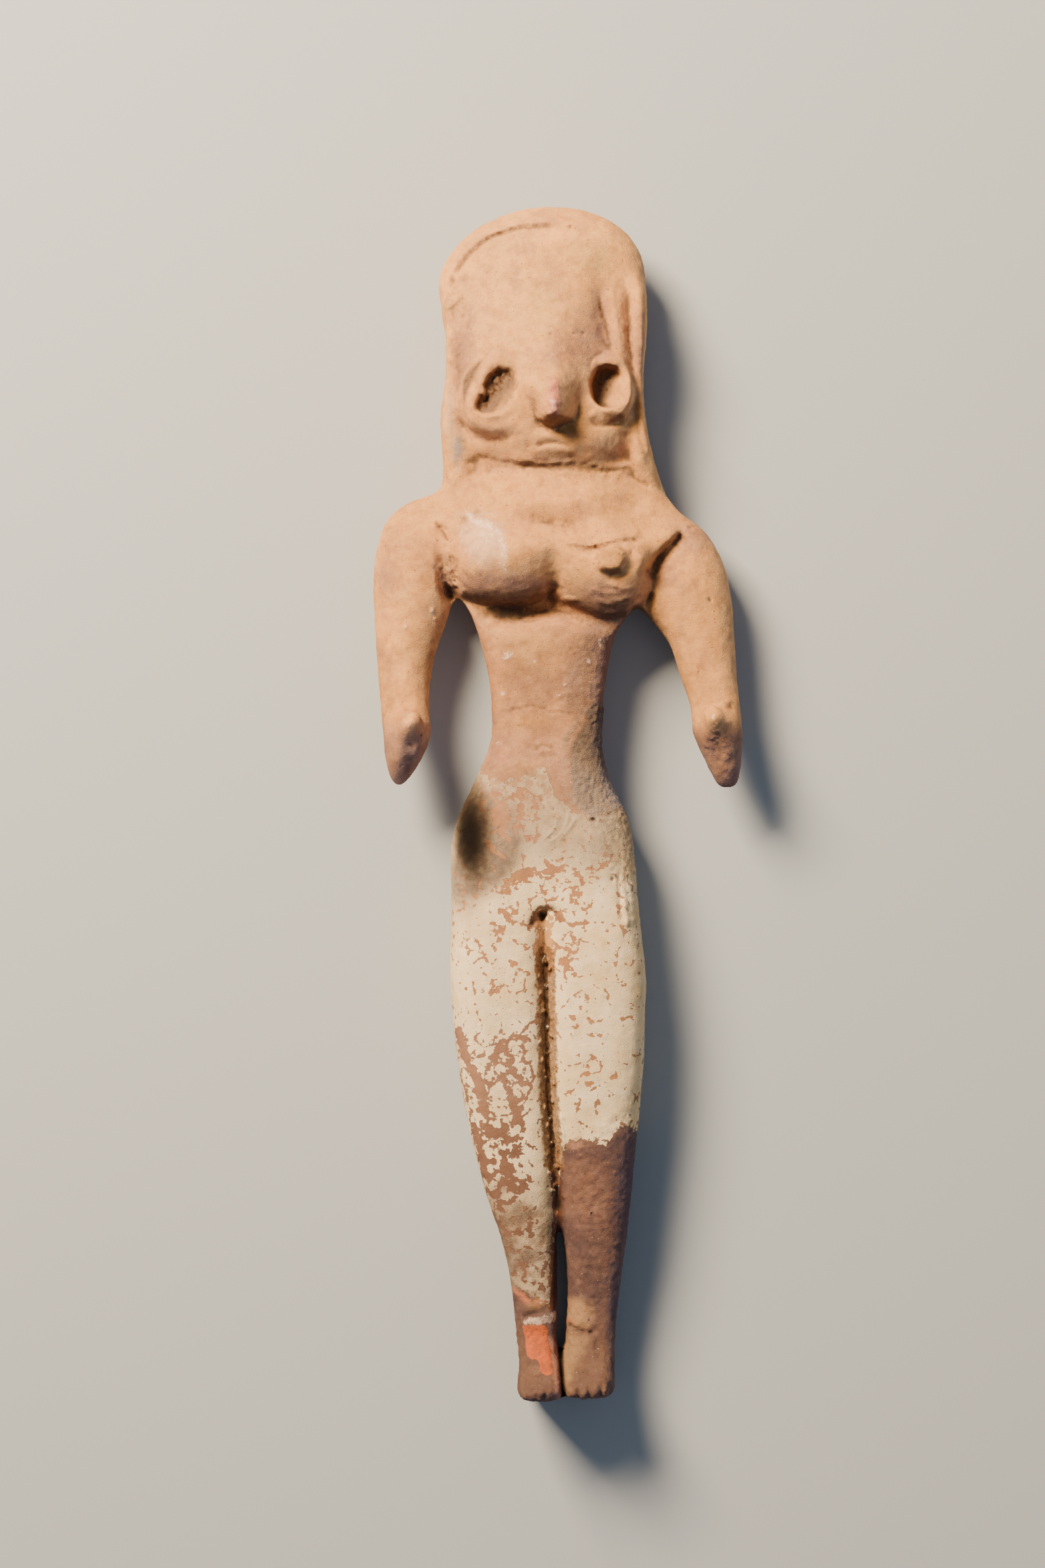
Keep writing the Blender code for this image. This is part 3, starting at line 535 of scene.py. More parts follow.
def roughen(clay):
    """Weathers the whole skin, and builds the lumpy crust on the right of the waist."""
    broad = clay.grain(9, 3, 1)
    fine = clay.grain(2.2, 4, 2)
    gritty = clay.grain(1, 3, 5)
    lumps = np.maximum(clay.grain(1.1, 3, 8), -0.3)
    striae = clay.grain(1, 2, 9)
    crust = clay.crust()
    leg = clay.outline([(2, -84), (24, -78), (24, -156), (-14, -156), (-14, -128), (3, -124)], 6)
    flank = clay.outline([(9, 46), (3, 40), (1, 24), (20, 22), (20, 46)], 4)
    flank = flank * eased(clay.facing[:, 2], -0.5, 0)
    hole = clay.outline(LEFT_DISC, 2) * eased(clay.z, 24.6, 22.5)
    armpit = clay.spot((-27.5, 58), (5, 6), 0.3, 20)
    palms = clay.spot((40, 13), (4.5, 9), 0.3, 15) + 0.4 * clay.spot((-37, 12), (2, 7), 0.3, -20)
    rough = 0.16 * broad + 0.1 * fine + 0.03 * gritty
    rough += (crust * (0.26 * lumps + 0.12 * gritty + 0.1) + flank * (0.16 * lumps + 0.08 * gritty)
              + leg * (0.1 * striae + 0.06 * gritty + 0.06 * fine))
    rough += hole * 0.5 * (fine + gritty)
    rough += armpit * 0.1 * (gritty + fine)
    rough += palms * 0.18 * (0.8 * fine + gritty)
    clay.at += clay.facing * (rough * eased(clay.z, 0, 3))[:, None]


# ---------------------------------------------------------------- colours of the old clay


def hue(red, green, blue):
    """A colour from its three screen values, 0 to 255, as the shader wants it."""
    share = np.array([red, green, blue]) / 255
    linear = np.where(share <= 0.04045, share / 12.92, ((share + 0.055) / 1.055) ** 2.4)
    return (*linear.tolist(), 1)


BUFF = hue(204, 147, 94)
PALE_BUFF = hue(214, 158, 104)
YELLOW_BUFF = hue(208, 162, 104)
HIP_BUFF = hue(170, 122, 88)
OCHRE = hue(204, 150, 84)
PELLET_OCHRE = hue(172, 124, 80)
ROSE = hue(160, 116, 96)
DUSTY_ROSE = hue(150, 118, 104)
HOLLOW_SHADE_ROSE = hue(140, 104, 88)
MAUVE = hue(146, 108, 92)
SHIN_MAUVE = hue(132, 102, 90)
WORN_PINK = hue(226, 134, 100)
NOSE_PINK = hue(206, 130, 103)
SHELL = hue(214, 172, 146)
GREY_BLUE = hue(178, 160, 142)
RAW_BROWN = hue(110, 76, 56)
LEG_BROWN_AND_SHADE = hue(92, 71, 69)
FOOT_BROWN_AND_SHADE = hue(102, 77, 68)
PAINTED_SHADE_BROWN = hue(78, 60, 52)
CRUST_GREY = hue(148, 130, 118)
CRUST_AND_SHADE_BROWN = hue(92, 72, 60)
PALM_BROWN = hue(96, 68, 60)
THUMB_BUFF_AND_HIGHLIGHT = hue(240, 178, 120)
SLIP_CREAM = hue(234, 212, 180)
SLIP_TAN = hue(222, 194, 152)
SLIP_GREY = hue(119, 100, 87)
REPAIR_ORANGE = hue(186, 92, 54)
REPAIR_BROWN = hue(146, 80, 56)
FILLER_WHITE = hue(208, 180, 163)
SALT_WHITE = hue(236, 212, 190)
RESIN_TAN = hue(150, 108, 74)
RESIN_BROWN = hue(92, 62, 40)
WET_RESIN = hue(52, 32, 18)
HAND_SHADOW_BLACK = hue(15, 10, 8)
DIRT_AND_SHADE = hue(70, 57, 49)
DARK_SOIL = hue(74, 48, 30)
DRY_SOIL = hue(118, 90, 70)

KEY_LAMP_SIDE = (-0.46, 0.63, 0.63)  # the way the key lamp lies, headward, left and front: the tint is painted with shade by how each side faces it
GREYER = (0.1, 0.3, 0.8)  # painted shade: how much stronger red, green and blue are on the side turned away from the lamp


class Paint(Clay):
    """The finished surface, its tint, and how much of each painted layer lies where."""

    def __init__(self, piece):
        super().__init__(piece)
        self.tint = np.tile(np.array(BUFF[:3]), (len(self.at), 1))
        self.layers = {}

    def wash(self, colour, mask, strength=1):
        """Lays a colour over the tint, as thickly as the mask says."""
        share = np.clip(mask * strength, 0, 1)[:, None]
        self.tint = self.tint * (1 - share) + np.array(colour[:3]) * share

    def daub(self, colour, place, sizes, strength=1, ragged=0.3, tilt=0, flat=0):
        """Paints one oval patch on the front."""
        self.wash(colour, self.spot(place, sizes, flat, tilt, ragged) * self.front, strength)

    def stroke(self, colour, path, width, strength, edge=0.6, ragged=0):
        self.wash(colour, self.stripe(path, width, edge, ragged) * self.front, strength)

    def brighten(self, share):
        self.tint = self.tint * (1 + share)[:, None]

    def spots(self, rows, flat=0, ragged=0):
        """At each point the greatest of many spots, each with its place, sizes and amount."""
        greatest = np.zeros(len(self.at))
        for place, sizes, amount in rows:
            greatest = np.maximum(greatest, amount * self.spot(place, sizes, flat, ragged=ragged))
        return greatest

    def layer(self, name, amount):
        """Keeps the greater of what the layer has already and the new amount."""
        before = self.layers.get(name, np.zeros(len(self.at)))
        self.layers[name] = np.maximum(before, np.clip(amount, 0, 1))

    def put_on(self):
        """Stores the tint and the layers on the mesh, for the material to read."""
        mesh = self.piece.data
        solid = np.ones((len(self.tint), 1))
        tint = mesh.attributes.new("tint", "FLOAT_COLOR", "POINT")
        tint.data.foreach_set("color", np.hstack([self.tint, solid]).astype(np.float32).ravel())
        for name, amount in self.layers.items():
            kept = mesh.attributes.new(name, "FLOAT", "POINT")
            kept.data.foreach_set("value", amount.astype(np.float32))

    def hollowness(self, spread):
        """How far each point lies below its surroundings, in millimetres: where dirt and painted shade
        go.
        """
        mesh = self.piece.data
        ends = np.empty(len(mesh.edges) * 2, np.int32)
        mesh.edges.foreach_get("vertices", ends)
        a, b = ends.reshape(-1, 2).T
        points = len(self.at)
        count = np.bincount(ends, minlength=points)[:, None]
        smooth = self.at.copy()
        for _ in range(spread):
            total = np.zeros_like(smooth)
            for axis in range(3):
                here = smooth[:, axis]
                total[:, axis] = np.bincount(a, here[b], points) + np.bincount(b, here[a], points)
            smooth = 0.4 * smooth + 0.6 * total / count
        return ((smooth - self.at) * self.facing).sum(1)


def paint_ground(paint):
    """The broad tints of the bare clay, from crown to feet."""
    x, y = paint.x, paint.y
    broad = paint.grain(16, 3, 11)
    blotch = paint.grain(6, 4, 12)
    each(paint.wash, (
        (PALE_BUFF, eased(y, 88, 120) * eased(x, 8, -14), 0.7),
        (ROSE, eased(y, 60, 40) * eased(np.abs(x + 2), 30, 20), 0.45),
        (HIP_BUFF, eased(y, 10, -10)),
        (SHIN_MAUVE, eased(y, -40, -60) * eased(x, 0, -8)),
    ))
    paint.stroke(RAW_BROWN, GROOVE_TOP, 2, 0.8, 1.6)
    paint.stroke(YELLOW_BUFF, [(-3.2, -27), (-3.4, -32), (-3.2, -38)], 4.6, 0.7, 1.5)
    # darker towards the feet: partly their own browner bare clay, partly painted shade where the lamp's
    # light falls off
    each(paint.wash, (
        (LEG_BROWN_AND_SHADE, eased(y, -70, -84)),
        (FOOT_BROWN_AND_SHADE, eased(y, -124, -134)),
        (MAUVE, eased(blotch, 0.15, 0.8), 0.35),
        (PALE_BUFF, eased(broad, 0.1, 0.8) * eased(y, 20, 50), 0.35),
        (YELLOW_BUFF, eased(blotch, -0.2, -0.8) * eased(y, 20, 50), 0.35),
    ))


def paint_head(paint):
    # the mauve on the left temple, the mauve and dusty rose on the right of the forehead and hair, and
    # the mauve under the chin are painted shade
    each(paint.daub, (
        (YELLOW_BUFF, (9, 137), (14, 10), 0.6), (YELLOW_BUFF, (-3, 124), (9, 12), 0.5),
        (PALE_BUFF, (-28, 125), (5, 3), 0.6), (MAUVE, (-8, 138), (4, 3), 0.5, 0.5),
        (MAUVE, (-24, 112), (5, 24), 0.75), (MAUVE, (11, 116), (7, 14), 0.55),
        (MAUVE, (20, 112), (4, 18), 0.6), (DUSTY_ROSE, (7, 118), (9, 12), 0.35, 0.5),
        (DUSTY_ROSE, (-20, 122), (6, 10), 0.3, 0.5), (GREY_BLUE, (-25, 89.5), (2.6, 7), 0.8),
        (GREY_BLUE, (-27, 98), (2, 12), 0.5), (ROSE, (4, 113), (12, 9), 0.6, 0.5),
        (ROSE, (11, 89), (9, 6), 0.3), (ROSE, (-17, 93), (9, 5), 0.4), (MAUVE, (-2, 86), (18, 4), 0.4),
        (NOSE_PINK, (-1.1, 100.2), (2.3, 6), 0.95, 0.3, 0, 0.5), (ROSE, (-1, 110), (4, 4), 0.5),
    ))


def paint_chest(paint):
    each(paint.daub, (
        (SHELL, (-18.5, 66), (7, 9.5), 0.65, 0.3, 20, 0.5), (OCHRE, (-11, 59), (4, 4), 0.4),
        (OCHRE, (4, 63.6), (3.5, 1.6), 0.6), (OCHRE, (13.5, 58.6), (4, 1.6), 0.6, 0.3, 10),
        (PELLET_OCHRE, *PELLET, 0.85, 0.3, 0, 0.5), (OCHRE, (7, 57), (3, 3), 0.5),
    ))
    paint.stroke(OCHRE, [(22, 59.5), (25.4, 63.3), (29.5, 67.5)], 1.4, 0.5)
    # painted shade on the turned-under faces of both breasts and on the right shoulder, a painted shadow
    # under each breast, and painted shade in the left armpit and in the hollow beside the flap
    each(paint.daub, (
        (ROSE, (-12, 55), (13, 5), 0.6), (hue(138, 102, 88), (-20, 55), (8, 6), 0.8),
        (MAUVE, (11, 53), (11, 5), 0.7), (hue(140, 108, 98), (34, 67), (8, 8), 0.6),
        (DIRT_AND_SHADE, (-12, 48.4), (10, 3.4), 0.92, 0.3, 0, 0.35), (hue(128, 92, 74), (10, 50), (12, 4), 0.6),
        (hue(170, 118, 88), (-3, 43), (14, 4), 0.4), (HOLLOW_SHADE_ROSE, (-28, 58), (4, 8), 0.6, 0.6),
        (HOLLOW_SHADE_ROSE, (27.5, 58.5), (4.5, 7), 0.7, 0.3, -25),
    ))


def paint_arms(paint):
    x, y = paint.x, paint.y
    each(paint.daub, (
        (MAUVE, (-42, 56), (7, 9), 0.55), (MAUVE, (-41, 64), (5, 5), 0.4),
        (MAUVE, (-33, 60), (5, 9), 0.35), (PALE_BUFF, (-38, 36), (6, 10), 0.5),
        (PALE_BUFF, (41, 36), (6, 12), 0.5),
    ))
    paint.wash(hue(168, 122, 98), eased(y, 24, 15) * eased(x, -30, -33), 0.85)
    paint.wash(hue(122, 88, 70), eased(y, 22, 16) * eased(x, 30, 33), 0.9)
    # on the left hand the pale thumb nub and the pale edge of the palm are partly their own buff and
    # partly painted highlight, and the dark beside the thumb is painted shade
    each(paint.daub, (
        (THUMB_BUFF_AND_HIGHLIGHT, (-36.6, 20.6), (3, 3.2)), (PALE_BUFF, (-32.6, 18.5), (1.6, 6), 0.8, 0.3, -14),
        (OCHRE, (37.5, 21.5), (4, 3.4), 0.6), (DIRT_AND_SHADE, (-36.4, 12.4), (0.9, 6), 0.3, 0.3, -17),
        (PALM_BROWN, (39.6, 13), (3.6, 7), 0.65, 0.3, 12),
    ))
    # forearms and crown are lighter
    for place, sizes, more in (
        ((-38, 33), (6, 12), 0.2), ((41.5, 33), (6, 12), 0.28), ((-2, 143), (20, 6), 0.12),
    ):
        paint.brighten(more * paint.spot(place, sizes))


def paint_belly(paint):
    y = paint.y
    each(paint.daub, (
        (YELLOW_BUFF, (-6, 41), (11, 5), 0.4), (MAUVE, (-5, 31), (9, 5), 0.5),
        (OCHRE, (-7, 20.6), (9, 3), 0.5), (WORN_PINK, (-14, 13), (3, 5), 0.4),
        (OCHRE, (-9, 9), (8, 4.5), 0.55),
    ))
    paint.wash(hue(146, 112, 98), eased(y, 26, 12) * eased(y, -20, -8), 0.55)
    each(paint.daub, (
        (MAUVE, (3, 34), (5, 9), 0.4, 0.6), (MAUVE, (-8, 26), (7, 4), 0.35, 0.6),
        (MAUVE, (-16, 22), (3, 2.4), 0.5),
    ))
    flank = paint.outline([(9, 47), (4.6, 40), (2, 24), (20, 22), (20, 47)], 5, ragged=0.8)
    crust = paint.crust()
    # the right flank and the upper crust, turned from the lamp, are painted darker: partly their own
    # mauve, grey and brown, partly painted shade
    paint.wash(hue(130, 100, 86), flank, 0.85)
    paint.wash(CRUST_GREY, crust, 0.95)
    paint.wash(CRUST_AND_SHADE_BROWN, crust * eased(y, 3, 14), 0.75)
    paint.stroke(hue(170, 120, 92), [(6.8, 22), (3.4, 16), (2.4, 10), (3.2, 4)], 1.2, 0.6, 1.4, 0.4)
    paint.layer("crusty", np.maximum(crust, 0.6 * flank))


def paint_legs(paint):
    each(paint.daub, ((ROSE, (8, -98), (9, 14), 0.5), (MAUVE, (12, -114), (7, 10), 0.2)))
    ankle = [(1, -124.5), (4, -123.4), (8, -124.4), (8.6, -128), (7, -130.6), (1.4, -129.6)]
    paint.wash(hue(168, 130, 96), paint.outline(ankle, 3.4, ragged=0.9), 0.7)
    paint.daub(hue(170, 84, 50), (2.6, -128.9), (1.7, 1.2), 0.6)
    instep = [(1, -131.6), (7, -132.8), (5.6, -137), (3.8, -140), (2.6, -145), (0.6, -144)]
    paint.wash(hue(150, 118, 88), paint.outline(instep, 3, ragged=0.9), 0.8)
    paint.daub(YELLOW_BUFF, (-5, -124.5), (5, 2.5), 0.3)
    chipped = [(-11.4, -120.8), (-9, -122.4), (-6.6, -124.2), (-3.6, -123.6)]
    paint.stroke(WORN_PINK, chipped, 1, 0.6, 1.2, 0.5)
    each(paint.daub, ((ROSE, (4, -84), (3, 2), 0.9), (hue(116, 84, 72), (7, -95), (8, 9), 0.6),
                      (hue(104, 74, 62), (14, -106), (5, 16), 0.45)))
    shins = [(-0.4, -86), (-0.2, -93), (0.2, -101), (-0.4, -110), (-0.8, -118), (-1.4, -125)]
    paint.stroke(hue(84, 50, 32), shins, 2.4, 0.85, 1, 0.4)
    foot = [(-1.6, -133.4), (-0.9, -137.6), (0, -141.6), (0.4, -146)]
    paint.stroke(hue(158, 108, 90), foot, 1.8, 0.85, 0.8, 0.3)
    # painted shade: a near-black line in the gap where the feet meet
    paint.wash(hue(30, 20, 16), paint.stripe(FEET_LINE, 1, 0.8))


def paint_sides(paint):
    """The tint painted by how each side faces: greyer painted shade on sides turned from the key lamp, a
    darker side facing it, dark painted shade on what faces the feet and under the chin, a mottled darker
    torso, and dust low down.
    """
    y = paint.y
    paint.brighten(-0.2 * eased(y, 46, 38) * eased(y, -14, 0) * eased(paint.grain(9, 3, 61), -0.6, 0.3))
    # painted shade: sides turned from the key lamp are greyer, and what faces it straight on is darker
    lamp_facing = (paint.facing @ KEY_LAMP_SIDE)[:, None]
    paint.tint = paint.tint * (1 + eased(lamp_facing, 0.5, 0.05) * GREYER)
    paint.tint = paint.tint * (1 - 0.2 * eased(lamp_facing, 0.74, 1))
    low = eased(paint.z, 14, 4)
    dusted = low * eased(paint.grain(7, 3, 71), -0.5, 0.5) * eased(y, -20, 10)
    paint.wash(hue(150, 108, 82), dusted, 0.5)
    # painted shade on what faces the feet from the chest up: the undersides of the nose, the breasts and
    # the jaw, less under the left eye's disc
    underside_shade = eased(-paint.facing[:, 1], 0.4, 0.85) * eased(y, 20, 40)
    paint.wash(PAINTED_SHADE_BROWN, underside_shade * (1 - 0.7 * paint.spot((-16, 92), (9, 5), 0.3)), 0.8)
    # painted shade under the chin, where the jaw turns under
    chin = [(-9, 86), (-4, 87), (2, 87.2), (8, 88), (16, 87.4), (18, 84.4), (8, 83.6), (0, 83.6),
            (-8, 84.6)]
    paint.wash(DIRT_AND_SHADE, paint.outline(chin, 4.5), 0.25)


def lay_slip(paint):
    """Where the pale slip lies, and how stained and greyed it is."""
    x, y = paint.x, paint.y
    top = np.interp(x, [-28, -18, -13.4, -6.2, -3.2, 0.1, 4.4, 9, 14, 22],
                    [15, 8, 5.3, 7.8, 9.1, 1, -1, -3, -1, 2])
    foot = np.interp(x, [-14, -9, -2, 0.2, 1.2, 4.7, 11.9, 15.9, 19.4],
                     [-122, -121, -125, -100, -85, -82.2, -83.8, -79.1, -80.3])
    side = eased(paint.facing[:, 2], 0.5, 0.1)
    foot = foot + side * (3.5 * paint.grain(9, 3, 81) + 2 * paint.grain(3, 3, 82) - 1)
    edge = np.minimum(top - y, y - foot)
    body = eased(np.abs(x + 3), 29, 26)
    paint.layer("slip", (0.5 + edge / 7) * body)
    paint.layer("thin", eased(y, -9, 4) + 0.85 * eased(y, -92, -104))
    paint.layer("stain", 0.5 * eased(paint.grain(8, 3, 31), 0, 0.7))
    paint.layer("stain", paint.spots((
        ((12, -38), (9, 12), 0.9), ((-12, -44), (10, 8), 0.5), ((-14, -104), (9, 16), 0.7),
        ((-3, -112), (4, 12), 0.8), ((16, -14), (5, 12), 0.6),
    ), ragged=0.3))
    hip = paint.spot((-17, -10), (10, 16), 0.2) + 0.5 * paint.spot((-23, -20), (7, 16), 0.2)
    shin = 0.5 * eased(y, -84, -104)
    shin = shin + 0.5 * eased(y, -88, -96) * eased(paint.grain(7, 3, 51), -0.15, 0.5)
    grey = np.clip(hip + shin + 0.5 * paint.spot((-13, -110), (4, 20), tilt=12), 0, 1)
    girdle = paint.outline([(-26, 12), (20, 8), (22, -10), (8, -17), (-8, -14), (-26, -22)], 12)
    paint.layer("greyed", grey + 0.7 * girdle)


def wear_slip(paint):
    """Where the slip is worn into nets of flakes, then larger bare patches, a line and a width each."""
    worn = 0.34 + 0.2 * paint.grain(10, 2, 21)
    places = paint.spots((
        ((-10, -2), (10, 12), 0.6), ((-3, -18), (12, 8), 0.6), ((-9, -27), (6, 8), 0.52),
        ((4, -28), (6, 14), 0.58), ((-16, -45), (13, 3.4), 0.54), ((-6, -47), (4, 12), 0.52),
        ((4, -47), (6, 14), 0.47), ((9, -68), (8, 12), 0.45), ((-9, -112), (8, 14), 0.47),
        ((-14, -36), (12, 12), 0.44), ((16, -30), (5, 30), 0.42), ((12, -14), (8, 8), 0.48),
    ), 0.5)
    knee = [(-30, -50), (-20, -55), (-7, -54), (-5, -70), (-7, -84), (-8, -100), (-18, -104),
            (-30, -80)]
    each(paint.layer, (("worn", worn), ("worn", places), ("worn", 0.63 * paint.outline(knee, 6))))
    for path, width in (
        # hips, and the groove's upper end
        (GROOVE_TOP, 2), ([(-3.2, -28), (-3.4, -32), (-3.2, -40)], 4.6),
        ([(-13.6, -21.2), (-12.5, -18.6), (-8, -17), (-3, -16.4), (1, -15.6)], 1.2),
        ([(4.4, -15.6), (6, -18.6), (5.4, -21.2), (3.4, -22.6)], 0.7),
        ([(-12.8, -21.4), (-11.4, -19.2)], 1.6), ([(-17.2, -9), (-15.6, -11.4), (-13.6, -12.6)], 1.2),
        ([(-9.4, 4), (-9, 0), (-9.4, -3), (-10.6, -6)], 1.2),
        # right thigh
        ([(2.8, -37.4), (0.6, -38.6), (2.4, -40)], 1.4), ([(6.6, -48), (5.2, -51.5), (3.6, -52.4)], 0.4),
        ([(15.4, -52), (18, -52.8)], 1), ([(5.4, -55), (5.4, -56.6)], 0.7),
        ([(8.6, -56.6), (10.6, -57)], 0.6), ([(7.6, -64.6), (7.2, -68), (8.8, -69)], 0.6),
        ([(13.6, -67.4), (15, -66.4)], 1.1), ([(4, -74.2), (5.2, -75)], 1.2),
        # left knee
        ([(-24.6, -56), (-23.2, -61), (-21, -66), (-19, -70.4), (-18, -76)], 1.9),
        ([(-13.4, -58.3), (-14.6, -60.4), (-15.8, -62.7)], 1.4), ([(-9.8, -57.2), (-7, -58)], 1.2),
        ([(-12.2, -70), (-10.6, -75), (-9.6, -78.4)], 2), ([(-11.2, -65.6), (-8.2, -68.6)], 1.4),
        ([(-18.6, -79.4), (-14.8, -81.4), (-12.8, -79.8)], 1.4),
        ([(-20.6, -80), (-18.9, -86), (-18, -91.6)], 1.8),
        ([(-13.6, -86.4), (-12.6, -90.6), (-10.8, -95.2), (-8, -94.2)], 2.2),
        # between the shins, and the left shin
        ([(-0.6, -84), (-0.4, -93), (0.2, -101), (-0.4, -110), (-1, -120)], 2.6),
        ([(-15.6, -104.3), (-12.6, -106.4), (-9.6, -106)], 1.6), ([(-7.2, -103.6), (-6.6, -107)], 0.9),
        ([(-8, -118), (-8.4, -115), (-10.4, -113)], 1), ([(-4, -121), (-3.4, -116), (-2.2, -112)], 1.4),
        ([(-13.6, -93), (-14.6, -97), (-14.4, -100)], 1.2),
    ):
        paint.layer("flaked", paint.stripe(path, width, 1.2, 0.3) * paint.front)
    paint.layer("flaked", 0.75 * paint.spot((-14.6, -3), (3.6, 9), 0.2, 6, 0.5) * paint.front)


def lay_accidents(paint):
    """The left hand's painted shadow on the hip, resin in the long groove, the repaired ankle, salts and
    glitter.
    """
    # painted shadow: the left hand's cast shadow on the left hip, black in its middle and soft at its
    # edges
    hand_shadowed = 3 * paint.spot((-21.2, -5.5), (6.6, 18), tilt=6, ragged=0.1)
    hand_shadowed += 1.8 * paint.spot((-22.2, -8.5), (4.4, 12), tilt=4)
    paint.layer("hand_shadow", 1 - np.exp(-hand_shadowed))
    core = [*LEG_GROOVE[2:7], (-1.3, -84), (-0.9, -89)]
    paint.layer("resin", paint.stripe(core, 5, 2, 0.5))
    paint.layer("wet", paint.stripe(core, 1.2, 1.6, 0.4))
    patch = [(-8.9, -129.8), (-3.2, -129.8), (-2.4, -133.3), (-1.5, -137), (-1.2, -140.4),
             (-2.7, -141.2), (-4.1, -140.5), (-4.9, -138.1), (-6.3, -137.8), (-7.7, -136.4),
             (-8, -133.3)]
    paint.layer("repair", paint.outline(patch, 1.6, ragged=0.3) * paint.front)
    seam = [(-9, -129.8), (-8.4, -128), (-4, -127.2), (-0.4, -126.4), (-0.3, -129), (-4, -129.8)]
    paint.layer("filler", 0.7 * paint.outline(seam, 1.6) * paint.front)
    paint.layer("salt", 0.3 * eased(paint.grain(3, 3, 41), 0.45, 0.9))
    paint.layer("salt", paint.spots((
        ((-18, 67), (6, 8), 0.68), ((-12.7, 37.8), (2.2, 2.6), 0.9), ((-5.6, 36.1), (1.2, 1), 0.9),
        ((-3.2, 33.9), (0.8, 0.8), 1), ((0.4, 27.7), (1, 1), 0.9), ((-6.8, 27.3), (0.9, 0.9), 0.9),
        ((-13.6, 28.1), (1.6, 2.2), 0.8), ((10.5, 41), (0.8, 2.4), 0.9), ((8, 36.1), (1.2, 1.2), 0.8),
        ((1.8, 30.2), (0.9, 0.9), 0.9), ((-14.6, 15), (2.2, 3.2), 0.6), ((-31, 48.4), (0.9, 1.4), 1),
        ((-37.8, 44.8), (0.8, 1), 0.9), ((38.4, 21.8), (1, 1.4), 0.9), ((-1, 98.8), (1.9, 3.6), 0.85),
        ((-2, 96.8), (1, 0.8), 0.9),
    ), 0.1, 0.4) * paint.front)
    breast = [(-22.6, 73), (-20, 70.4), (-16.6, 69.4), (-14.2, 66.5), (-13.5, 62), (-13.3, 58)]
    paint.layer("salt", 0.85 * paint.stripe(breast, 2.2, 2.4, 0.9) * paint.front)
    nose = paint.spot((-1, 100.4), (2, 5.4), 0.5, ragged=0.3)
    paint.layer("glitter", nose + 0.6 * paint.spot((-12, 16), (5, 5), 0.2, ragged=0.4))


def lay_dirt_and_shade(paint):
    """Dirt and painted shade in whatever lies low, less of it at a few places, more in the hair grooves,
    a painted shadow under the nose, painted shade along the chin, and soil in both eyes, with painted
    shade in the right one.
    """
    # dirt and painted shade in small hollows, and broader painted shade in large ones such as below the
    # breasts
    dirt_and_shade = eased(paint.hollowness(6), 0.04, 0.22) * 0.7
    dirt_and_shade += eased(paint.hollowness(60), 0.3, 1.6) * 0.4 * (1 - paint.spot((12, 89), (8, 6), 0.4))
    # a painted shadow under the nose
    dirt_and_shade = np.maximum(dirt_and_shade, 0.6 * paint.spot((2.6, 93.2), (4.6, 2.6), 0.2, -20, 0.3))
    chin = [(-10, 85.2), (-5, 84.6), (0, 84.5), (5, 84.4), (10, 84), (15, 84), (18, 84.2)]
    # painted shade along the crease under the chin
    dirt_and_shade = np.maximum(dirt_and_shade, 0.75 * paint.stripe(chin, 1.1, 2, 0.6))
    # less of it at these places
    for place, sizes, rubbed, flat in (
        ((-1, 90), (7, 2.6), 0.6, 0.3), ((-21.5, 106), (4.5, 8), 0.8, 0.4),
        ((14, 91), (6.5, 6), 0.75, 0.4), ((20, 98), (3, 6), 0.7, 0.4),
    ):
        dirt_and_shade = dirt_and_shade * (1 - rubbed * paint.spot(place, sizes, flat))
    paint.layer("dirt_and_shade", dirt_and_shade)
    for groove in (INNER_GROOVE, MAIN_GROOVE):
        paint.layer("dirt_and_shade", 0.5 * paint.stripe(groove[1:], 0.6, 1.4, 0.3))
    paint.layer("soil_and_shade", paint.outline(LEFT_DISC, 1) * eased(paint.z, 25, 23.8))
    paint.layer("soil_and_shade", 0.75 * paint.spot((-15, 103.8), (5.4, 6.4), 0.5, -30, 0.3))
    # in the right eye, the deep left side of the dish, which its rim shades, is painted dark: soil and
    # painted shade
    paint.layer("soil_and_shade", paint.spot((11.4, 105), (3.9, 5.3), 0.7, -10) * eased(paint.z, 22.5, 19.5))
    slope = eased(paint.z, 24.6, 22.5) * eased(paint.x, 14.5, 10.5)
    paint.layer("soil_and_shade", 0.55 * paint.spot((11.6, 104.6), (5.4, 6.6), 0.6, -10) * slope)


# ---------------------------------------------------------------- the finish


class Wire:
    """A socket whose value can be used in sums, each of which adds its Math node."""

    def __init__(self, finish, socket):
        self.finish, self.socket = finish, socket

    def math(self, kind, first, second):
        return self.finish.node("ShaderNodeMath", {"operation": kind}, {0: first, 1: second})

    def __add__(self, other):
        return self.math("ADD", self, other)

    __radd__ = __add__

    def __sub__(self, other):
        return self.math("SUBTRACT", self, other)

    def __rsub__(self, other):
        return self.math("SUBTRACT", other, self)

    def __mul__(self, other):
        return self.math("MULTIPLY", self, other)

    __rmul__ = __mul__

    def over(self, other):
        """The greater of the two."""
        return self.math("MAXIMUM", self, other)


